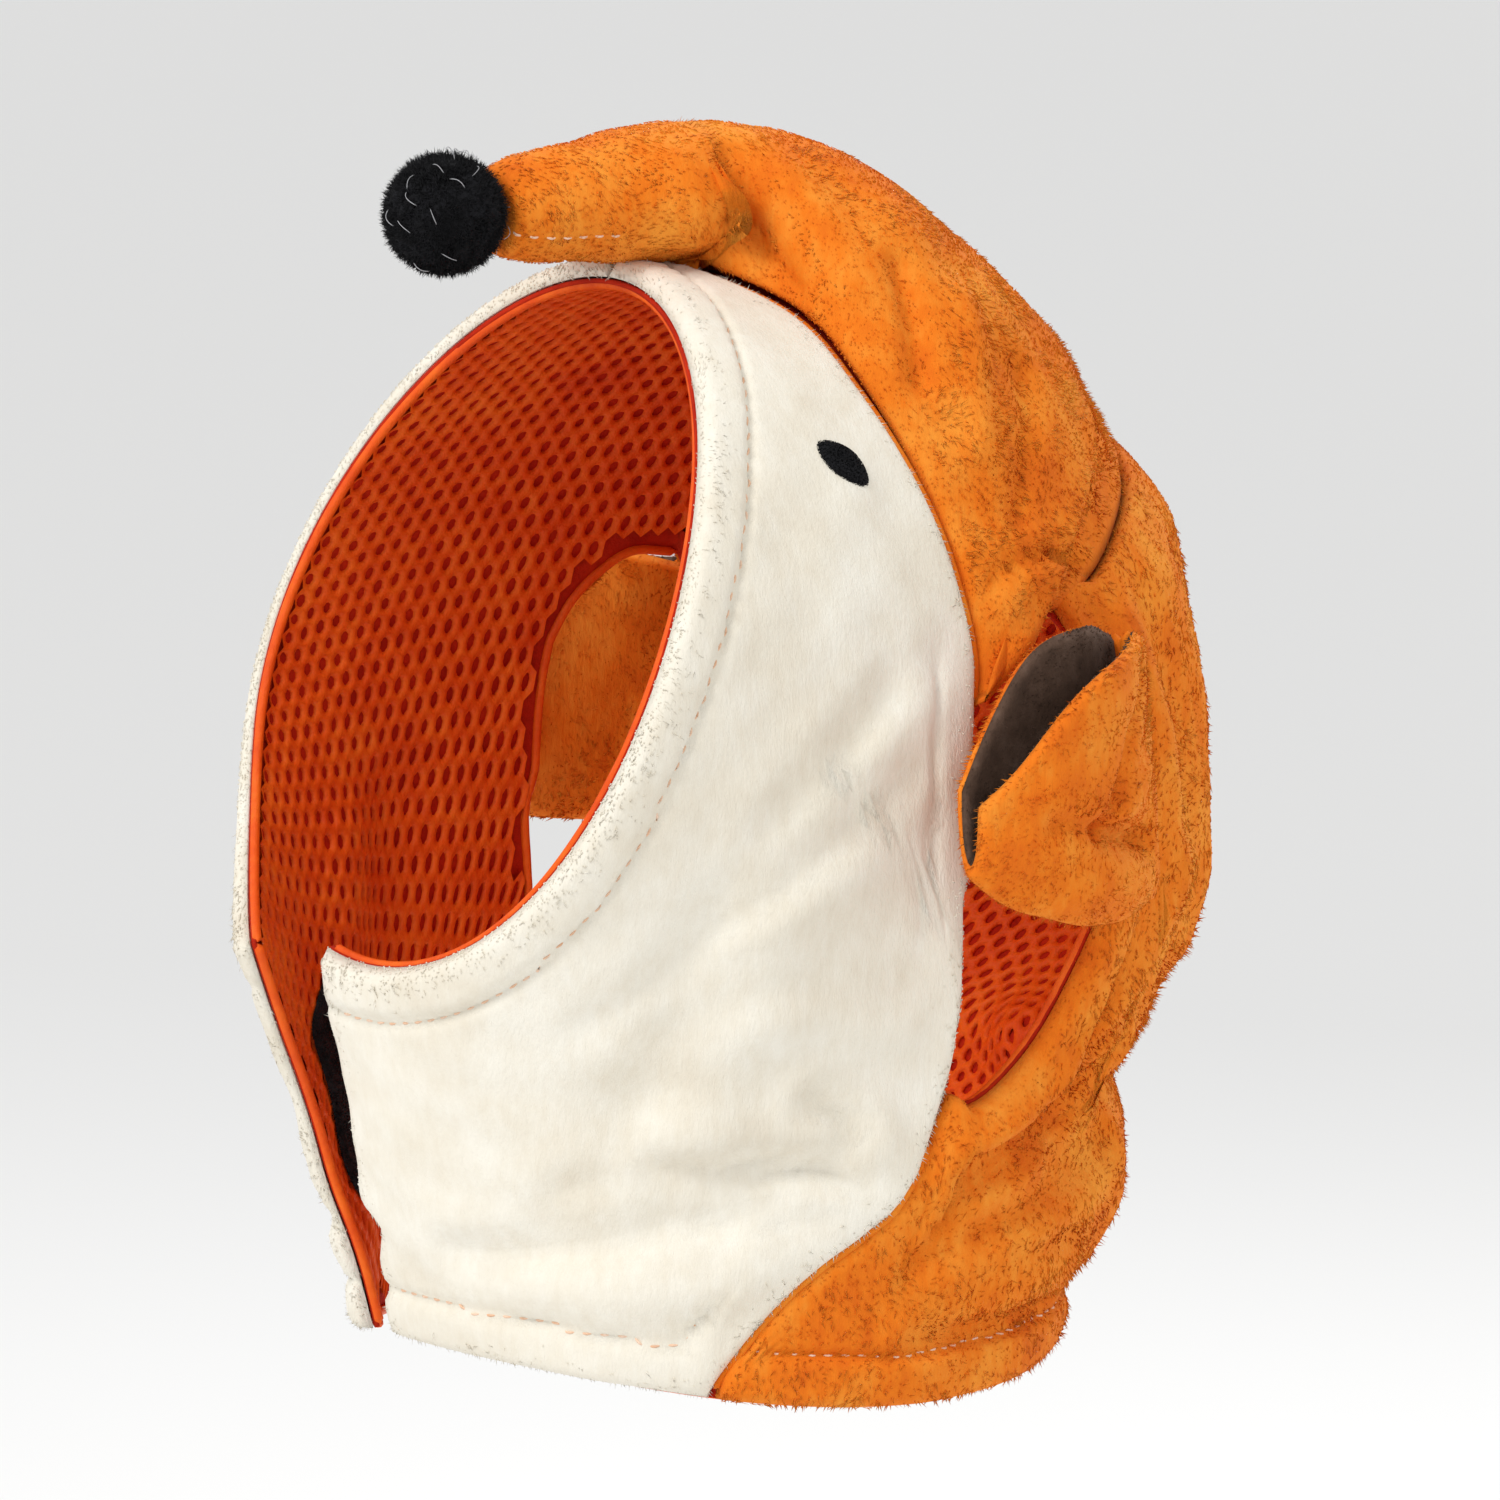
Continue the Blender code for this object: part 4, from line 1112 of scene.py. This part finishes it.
def snout_grid(nose_rows, base_rows, columns):
    """Points over the snout, from the nose to the nape, and each row's place."""
    across = np.linspace(-1, 1, columns)
    start = nose_start()
    turn = across * math.pi
    ovals = []
    for along, bottom, top, half_width in SNOUT_OVALS:
        x = np.sin(turn) * half_width * SNOUT_WIDTH
        middle, half = (top + bottom) / 2, (top - bottom) / 2
        z = start[2] + (middle + half * np.cos(turn)) * SNOUT_RISE
        ovals.append(stack(x, start[1] + along * SNOUT_LENGTH, z))
    places = np.linspace(0, len(ovals) - 1, nose_rows)
    nose = spline(np.arange(len(ovals)), np.array(ovals), places)
    marks = np.linspace(180.0, 2 * CROWN_SEAM_START - SLOT_TOP, base_rows + 1)[1:]
    base = []
    for mark in marks:
        arch = snout_arch(mark, across)
        opened = min(1.0, (180.0 - mark) / (180.0 - SNOUT_SPLIT))
        eased = opened * opened * (3 - 2 * opened)
        row = nose[-1] * (1 - eased) + arch * eased
        foot_shift = (arch[-1] - row[-1]) * np.abs(across[:, None]) ** FOOT_HOLD
        foot_shift[across < 0, 0] *= -1
        base.append(row + foot_shift)
    points = np.concatenate([nose, np.array(base)])
    place = np.concatenate([np.linspace(0, 1, nose_rows), 1 + (180.0 - marks) / (180.0 - marks[-1])])
    return points, place, across


# Folds of the snout: place from 0 at the nose over 1 to 2 at the nape, and across
# place_1, across_1, place_2, across_2, depth_mm, width_mm
SNOUT_FOLDS = [
    [1.13, 0.33, 1.19, 0.70, -3.2, 2.8],
    [1.19, 0.70, 1.26, 0.96, -4.6, 3.2],
    [0.78, 0.30, 0.88, 0.70, 1.0, 4.5],
    [1.28, 0.50, 1.37, 0.83, 2.0, 4.5],
    [1.45, 0.66, 1.52, 0.86, -3.0, 2.8],
    [1.55, 0.58, 1.62, 0.83, 1.6, 4.0],
    [1.66, 0.56, 1.71, 0.82, -1.8, 2.8],
]


# Snout
NOSE_ROWS = 30
BASE_ROWS = 84
SNOUT_COLUMNS = 121
NOSE_CLOSED = 1.02
SNOUT_RIPPLE = 0.0004
SNOUT_RIPPLE_SIZE = 0.020
FOLD_SLOPE = 0.55
FOLD_LEAST = 0.0008
SLOT_PLACE = 1.79
SNOUT_RING = 1.7
CHEEK_FADE = (0.001, 0.009)
REAR_FADE = 0.008
FOLD_FADE = 0.006
SNOUT_THICK = 0.9
SNOUT_ROLL = 0.8
SNOUT_EASE_IN = 0.0002
NOSE_SEAM = 0.66
NOSE_SEAM_ENDS = (0.08, 0.62)


def make_snout():
    """The orange snout, with its soft folds."""
    points, place, across = snout_grid(NOSE_ROWS, BASE_ROWS, SNOUT_COLUMNS)
    points = points[:, ::-1]
    across = across[::-1]
    normal = grid_normals(points)
    normal[0] = normal[1]
    rise = SNOUT_RIPPLE * ripple(points, SNOUT_RIPPLE_SIZE, SNOUT_RIPPLE_SEED)
    for place_1, across_1, place_2, across_2, depth, width in SNOUT_FOLDS:
        steps = np.linspace(0, 1, CREASE_POINTS)
        row = np.interp(place_1 + (place_2 - place_1) * steps, place, np.arange(len(place)))
        for sign in (1, -1):
            mark = sign * (across_1 + (across_2 - across_1) * steps)
            line = read_grid(points, row, np.interp(-mark, -across, np.arange(len(across))))
            rise += depth * MM * bell(distance_to_line(points, line), width * MM)
    edge = distance_to_line(points, points[-1])
    inside = smooth(0, FOLD_FADE, edge)
    side = nearest_edge(points, points[:, 0], points[:, -1])
    rise = np.maximum(rise, -FOLD_SLOPE * side - FOLD_LEAST)
    closed = (place < NOSE_CLOSED)[:, None]
    edge = np.minimum(edge, np.where(closed, 1.0, side))
    over_slots = place > SLOT_PLACE
    to_slot = nearest_edge(points, points[over_slots, 0], points[over_slots, -1])
    to_cheek = nearest_edge(points, points[~over_slots, 0], points[~over_slots, -1])
    ring = turned_band(to_slot, BAND, SNOUT_RING) * smooth(*CHEEK_FADE, to_cheek)
    ring = ring * smooth(0, REAR_FADE, distance_to_line(points, points[-1]))
    rolled = rounded_edge(edge, EDGE_ROLL)
    outer = points + normal * (rise * inside + ring - (1 - rolled) * PLUSH * SNOUT_ROLL)[..., None]
    inner = outer - normal * (PLUSH * SNOUT_THICK * rolled + SNOUT_EASE_IN)[..., None]
    verts, faces = closed_sheet(outer, inner)
    cloth = new_object("snout_plush", verts, faces, ORANGE, ("snout",))
    down = np.array([0.0, 1.0, -0.35])
    fuzz = pile("snout_pile", outer[1:-1], ORANGE, SNOUT_PILE, down, SNOUT_SEED)
    near_nose = (place > NOSE_SEAM_ENDS[0]) & (place < NOSE_SEAM_ENDS[1])
    seams = []
    for mark in (NOSE_SEAM, -NOSE_SEAM):
        column = int(np.argmin(np.abs(across - mark)))
        seams.append((outer[near_nose, column], normal[near_nose, column]))
    thread = stitches("snout_stitches", seams)
    return cloth, [fuzz, thread]


# Pompom
BALL_ROWS = 90
BALL_SHARE = 0.985
BALL_BUMP = 0.0004
POLE = 0.001
FIBRE_ROOT = 0.97
LINTS = 26
LINT_POINTS = 9
LINT_LENGTH = 0.28
LINT_BEND = 0.16
LINT_TURN = 1.2
LINT_LIFT = 0.0009
LINT_WAVE = 0.0008
LINT_RADIUS = 0.00006

# Bumps of the ball: size, seed, share
BALL_BUMPS = [(0.45, 9, 0.5), (0.18, 19, 0.3)]


def make_pompom():
    """The pompom nose: a ball of curly yarn, with a few pale lints."""
    start = nose_start()
    reach = POMPOM_RADIUS + LOCK_LENGTH / 2 + SEAM_GAP
    centre = np.array([0.0, start[1] - reach, start[2] + POMPOM_RISE * SNOUT_RISE])
    draw = np.random.default_rng(POMPOM_SEED)
    turn = np.linspace(0, 2 * math.pi, 2 * BALL_ROWS + 1)
    tilt = np.linspace(POLE, math.pi - POLE, BALL_ROWS)[:, None]
    way = stack(np.sin(tilt) * np.cos(turn), np.sin(tilt) * np.sin(turn), np.cos(tilt) * np.ones(turn.shape))
    bumps = sum(ripple(way, size, seed) * share for size, seed, share in BALL_BUMPS)
    ball = centre + way * (POMPOM_RADIUS * BALL_SHARE + BALL_BUMP * bumps)[..., None]
    quads = grid_faces(*ball.shape[:2])
    core = new_object("pompom_ball", ball, quads, YARN, ("nose_pompom",))
    count, length, width, lie = YARN_FIBRES
    out = unit(draw.normal(size=(count, 3)))
    root = centre + out * POMPOM_RADIUS * FIBRE_ROOT
    way = draw.normal(size=out.shape)
    spikes("pompom_fibres", root, out, way, length, width, lie, YARN, draw)
    lints = []
    for _ in range(LINTS):
        out = unit(draw.normal(size=3))
        side = unit(np.cross(out, draw.normal(size=3)))
        bend = draw.uniform(-LINT_TURN, LINT_TURN)
        t = np.linspace(0, 1, LINT_POINTS)[:, None]
        arc = out + side * t * LINT_LENGTH + np.cross(out, side) * bend * t * t * LINT_BEND
        height = POMPOM_RADIUS + LINT_LIFT + LINT_WAVE * np.sin(3 * t)
        lints.append(tube_along(centre + unit(arc) * height, LINT_RADIUS, 4))
    verts, faces = joined(lints)
    new_object("pompom_lint", verts, faces, LINT)


def rear_of_slot():
    """Shares and angles of the slot's rear edge, shares rising."""
    rows = BACK_EDGE[(BACK_EDGE[:, 0] >= SLOT_REAR) & (BACK_EDGE[:, 0] <= SLOT_TOP)][::-1]
    return rows[:, 1], rows[:, 0]


def ear_surface(u, v, side):
    """A point of an ear: u from base to tip, v from edge to edge."""
    top_angle = float(np.interp(EAR_TOP_SHARE, *rear_of_slot())) + EAR_SET_BACK
    foot_angle = float(np.interp(EAR_FOOT_SHARE, *rear_of_slot())) + EAR_SET_BACK
    low = LAYER_GAP + PLUSH + SEAM_GAP + EAR_PLUSH
    high = low + 2 * EAR_PLUSH + 2 * EAR_FELT + 3 * LAYER_GAP
    far = hood(EAR_TOP_SHARE, top_angle, low)
    near = hood(EAR_TOP_SHARE, top_angle, high)
    keel = hood(EAR_FOOT_SHARE, foot_angle, (low + high) / 2)
    base = (near + keel) / 2
    rows = [[near, keel, far]]
    for along, n_out, n_up, k_out, k_up, f_out, f_up in EAR_SECTIONS:
        place = base - np.array([0.0, along * EAR_LENGTH, 0.0])
        rows.append([place + np.array([out * EAR_SPREAD, 0.0, up * EAR_HEIGHT])
                     for out, up in ((n_out, n_up), (k_out, k_up), (f_out, f_up))])
    knots = np.concatenate([[0.0], EAR_SECTIONS[:, 0]])
    lines = spline(knots, np.array(rows), u)
    near, keel, far = lines[..., 0, :], lines[..., 1, :], lines[..., 2, :]
    middle = (8 * keel - near - far) / 6
    width = (near - far) * EAR_FULLNESS / 2
    t = ((v + 1) / 2)[..., None]
    point = (near * (1 - t) ** 3 + 3 * (middle + width) * t * (1 - t) ** 2
             + 3 * (middle - width) * t * t * (1 - t) + far * t ** 3)
    point[..., 0] *= side
    return point


# Creases of an ear: u_1, v_1, u_2, v_2, depth_mm, width_mm
EAR_FOLDS = [
    [0.11, -0.49, 0.46, -0.61, -4.6, 2.6],
    [0.46, -0.61, 0.71, -0.70, -2.2, 2.4],
    [0.12, -0.94, 0.31, -0.82, -2.0, 2.0],
    [0.31, -0.82, 0.41, -0.70, -2.4, 2.0],
    [0.15, -0.72, 0.36, -0.66, 1.2, 3.0],
    [0.14, -0.32, 0.55, -0.42, 1.2, 4.5],
]


# Ears
EAR_ROWS = 64
EAR_COLUMNS = 90
EAR_GRADE = 0.3
EAR_RIPPLE = 0.0003
EAR_RIPPLE_SIZE = 0.014
EAR_ROLL = 1.2
EAR_PUFF = 1.1
EAR_FADE = 0.005
FELT_EASE = 0.0001


def make_ear(name, side):
    """One ear: plush outside with its creases, and brown felt inside."""
    u = (graded(EAR_ROWS, EAR_GRADE) * EAR_END)[:, None]
    v = (graded(EAR_COLUMNS, EAR_GRADE) * 2 - 1)[None, :]
    u, v = np.broadcast_arrays(u, v)
    base = ear_surface(u, v, side)
    normal = grid_normals(base) * side
    steps = np.linspace(0, 1, CREASE_POINTS)
    rise = EAR_RIPPLE * ripple(base * np.array([side, 1, 1]), EAR_RIPPLE_SIZE, EAR_RIPPLE_SEED)
    for u_1, v_1, u_2, v_2, depth, width in EAR_FOLDS:
        line = ear_surface(u_1 + (u_2 - u_1) * steps, v_1 + (v_2 - v_1) * steps, side)
        rise += depth * MM * bell(distance_to_line(base, line), width * MM)
    edge = nearest_edge(base, base[-1], base[:, 0], base[:, -1])
    rolled = rounded_edge(edge, EAR_PLUSH * EAR_ROLL)
    rise = rise * smooth(0, EAR_FADE, edge)
    outer = base + normal * (EAR_PLUSH * EAR_PUFF * rolled + rise)[..., None]
    within = base + normal * (rise - FELT_EASE)[..., None]
    deeper = base + normal * (rise - EAR_FELT * rolled - FELT_EASE)[..., None]
    order = slice(None) if side > 0 else slice(None, None, -1)
    outer, within, deeper = outer[:, order], within[:, order], deeper[:, order]
    verts, faces = closed_sheet(outer, within)
    cloth = new_object(f"ear_{name}_plush", verts, faces, ORANGE, (f"ear_{name}_outer",))
    verts, faces = closed_sheet(within, deeper)
    felt = new_object(f"ear_{name}_felt", verts, faces, FELT, (f"ear_{name}_inner",))
    forward = np.array([0.0, -1.0, -0.3])
    fuzz = pile(f"ear_{name}_pile", outer, ORANGE, EAR_PILE, forward, EAR_SEED)
    points, quads = tube_along(base[0] - normal[0] * EAR_FELT, EAR_SEAM_RADIUS)
    seam = new_object(f"ear_{name}_seam", points, quads, ORANGE)
    nap = pile(f"ear_{name}_nap", deeper[:, ::-1], FELT, EAR_NAP, forward, EAR_NAP_SEED)
    return cloth, [fuzz, seam], felt, nap


def patch_grid(share, angle, length, width, tilt, power, rings, sides):
    """Shares, angles and radii over a small piece that follows the hood."""
    turn = np.arange(sides + 1) % sides * 2 * math.pi / sides
    size = (np.abs(np.cos(turn)) ** power + np.abs(np.sin(turn)) ** power) ** (-1 / power)
    radius = np.linspace(0, 1, rings + 1)[:, None] * np.ones(sides + 1)[None, :]
    a = radius * size * np.cos(turn) * length / 2
    b = radius * size * np.sin(turn) * width / 2
    round_ = a * math.cos(tilt) - b * math.sin(tilt)
    down = a * math.sin(tilt) + b * math.cos(tilt)
    per_share = np.linalg.norm(tube(share + PATCH_STEP, angle) - tube(share - PATCH_STEP, angle))
    per_share = per_share / (2 * PATCH_STEP)
    per_angle = np.linalg.norm(tube(share, angle + 1) - tube(share, angle - 1)) / 2
    return share + down / per_share, angle + round_ / per_angle, radius


# Eyes and hook patch
EYE_ROUNDNESS = 1.7
EYE_RINGS = 14
EYE_SIDES = 48
EYE_SUNK = 0.0002
EYE_PUFF = 0.0019
EYE_DOME = 3
PATCH_ROUNDNESS = 6
PATCH_RINGS = 16
PATCH_SIDES = 72
PATCH_GAP = 0.0004
PATCH_THICK = 0.0013
PATCH_ROLL = 0.0008


def make_eye(name, side):
    """A padded black felt eye with its nap."""
    tilt = math.radians(90 + side * EYE_TILT)
    share, angle, radius = patch_grid(EYE_SHARE, side * EYE_ANGLE, EYE_LENGTH, EYE_WIDTH, tilt,
                                      EYE_ROUNDNESS, EYE_RINGS, EYE_SIDES)
    low = LAYER_GAP + PLUSH - EYE_SUNK
    lift = low + EYE_PUFF * np.sqrt(np.clip(1 - radius ** EYE_DOME, 0, 1))
    points = on_hood(share, angle, lift)[0][:, ::-1]
    felt = new_object(name + "_felt", points, grid_faces(*points.shape[:2]), YARN, (name,))
    down = np.array([0.0, 0.2, -1.0])
    pile(name + "_nap", points, YARN, EYE_NAP, down, EYE_SEED)


def make_patch():
    """The hook patch on the lining of the far flap."""
    share, angle, radius = patch_grid(PATCH_SHARE, PATCH_ANGLE, PATCH_WIDTH, PATCH_HEIGHT, 0.0,
                                      PATCH_ROUNDNESS, PATCH_RINGS, PATCH_SIDES)
    lift = -LINING - PATCH_GAP - PATCH_THICK * rounded_edge((1 - radius) * PATCH_WIDTH / 2, PATCH_ROLL)
    points = on_hood(share, angle, lift)[0]
    quads = grid_faces(*points.shape[:2])
    tape = new_object("hook_patch_tape", points, quads, TAPE, ("hook_patch",))
    down = np.array([0.0, 0.0, -1.0])
    hooks = pile("hook_patch_hooks", points, TAPE, PATCH_HOOKS, down, HOOK_SEED)
    return tape, hooks


def light(name, place, target, size, power):
    """A soft square lamp that faces its target."""
    lamp = bpy.data.lights.new(name, "AREA")
    lamp.size, lamp.energy = size, power
    holder = bpy.data.objects.new(name, lamp)
    holder.location = place
    holder.rotation_euler = (Vector(target) - Vector(place)).to_track_quat("-Z", "Y").to_euler()
    bpy.context.scene.collection.objects.link(holder)


# Stage, camera and lights
WORLD_STRENGTH = 0.84
FLOOR_DROP = 0.257
FLOOR_REACH = 6.0
FLOOR_COLOUR = (0.86, 0.86, 0.855, 1)
FLOOR_ROUGHNESS = 0.9
PICTURE_MIDDLE = (0.002, 0.006, 0.113)
PICTURE_WIDTH = 0.285
SENSOR_WIDTH = 36
AZIMUTH = 50
ELEVATION = 9
CAMERA_AWAY = 1.7
CAMERA_END = 20

# Lamps: name, place from the middle towards the camera, to the right and up, then size and power
LAMPS = [
    ("key", 0.9, -0.8, 1.0, 0.6, 12.5),
    ("fill", 0.8, 1.1, 0.3, 1.2, 1.0),
    ("rim", -1.0, 0.3, 0.8, 0.8, 4.0),
]


def make_studio():
    """Pale floor, soft light and the camera at the photo's angle."""
    scene = bpy.context.scene
    scene.view_settings.view_transform = "Standard"
    world = bpy.data.worlds.new("studio")
    scene.world = world
    world.use_nodes = True
    world.node_tree.nodes["Background"].inputs["Color"].default_value = (1.0, 1.0, 1.0, 1)
    world.node_tree.nodes["Background"].inputs["Strength"].default_value = WORLD_STRENGTH
    floor_z = -SEAT[2] - FLOOR_DROP
    mesh = bpy.data.meshes.new("floor")
    corners = [(-1, -1), (1, -1), (1, 1), (-1, 1)]
    mesh.from_pydata([(x * FLOOR_REACH, y * FLOOR_REACH, floor_z) for x, y in corners], [], [(0, 1, 2, 3)])
    floor = bpy.data.objects.new("floor", mesh)
    pale = bpy.data.materials.new("pale_floor")
    _, shader, _ = nodes_of(pale)
    shader.inputs["Base Color"].default_value = FLOOR_COLOUR
    shader.inputs["Roughness"].default_value = FLOOR_ROUGHNESS
    mesh.materials.append(pale)
    scene.collection.objects.link(floor)
    middle = np.array(PICTURE_MIDDLE) - SEAT
    azimuth = math.radians(AZIMUTH)
    elevation = math.radians(ELEVATION)
    back = np.array([math.sin(azimuth) * math.cos(elevation), -math.cos(azimuth) * math.cos(elevation),
                     math.sin(elevation)])
    right = np.array([math.cos(azimuth), math.sin(azimuth), 0.0])
    data = bpy.data.cameras.new("camera")
    data.lens = SENSOR_WIDTH * CAMERA_AWAY / PICTURE_WIDTH
    data.clip_end = CAMERA_END
    camera = bpy.data.objects.new("camera", data)
    camera.location = Vector(middle + back * CAMERA_AWAY)
    camera.rotation_euler = Vector(-back).to_track_quat("-Z", "Y").to_euler()
    scene.collection.objects.link(camera)
    scene.camera = camera
    for name, near, beside, above, size, power in LAMPS:
        place = middle + back * near + right * beside + np.array([0, 0, above])
        light(name, place, middle, size, power)


make_studio()
near_cheek, on_near_cheek = make_cheek("cheek_left", 1, NEAR_FLAP_END, NEAR_CHEEK_SEED)
far_cheek, on_far_cheek = make_cheek("cheek_right", -1, -FAR_FLAP_END, FAR_CHEEK_SEED)
back, on_back = make_back()
backing = make_backing()
net = make_net()
binding = make_binding()
snout, on_snout = make_snout()
on_snout.append(make_seam_roll())
make_pompom()
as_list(on_near_cheek)
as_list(on_far_cheek)
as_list(on_back)
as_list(on_snout)
for ear_name, ear_side in (("left", 1), ("right", -1)):
    cloth, on_ear, felt, nap = make_ear(ear_name, ear_side)
    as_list(on_ear)
make_eye("eye_left", 1)
make_eye("eye_right", -1)
tape, hooks = make_patch()
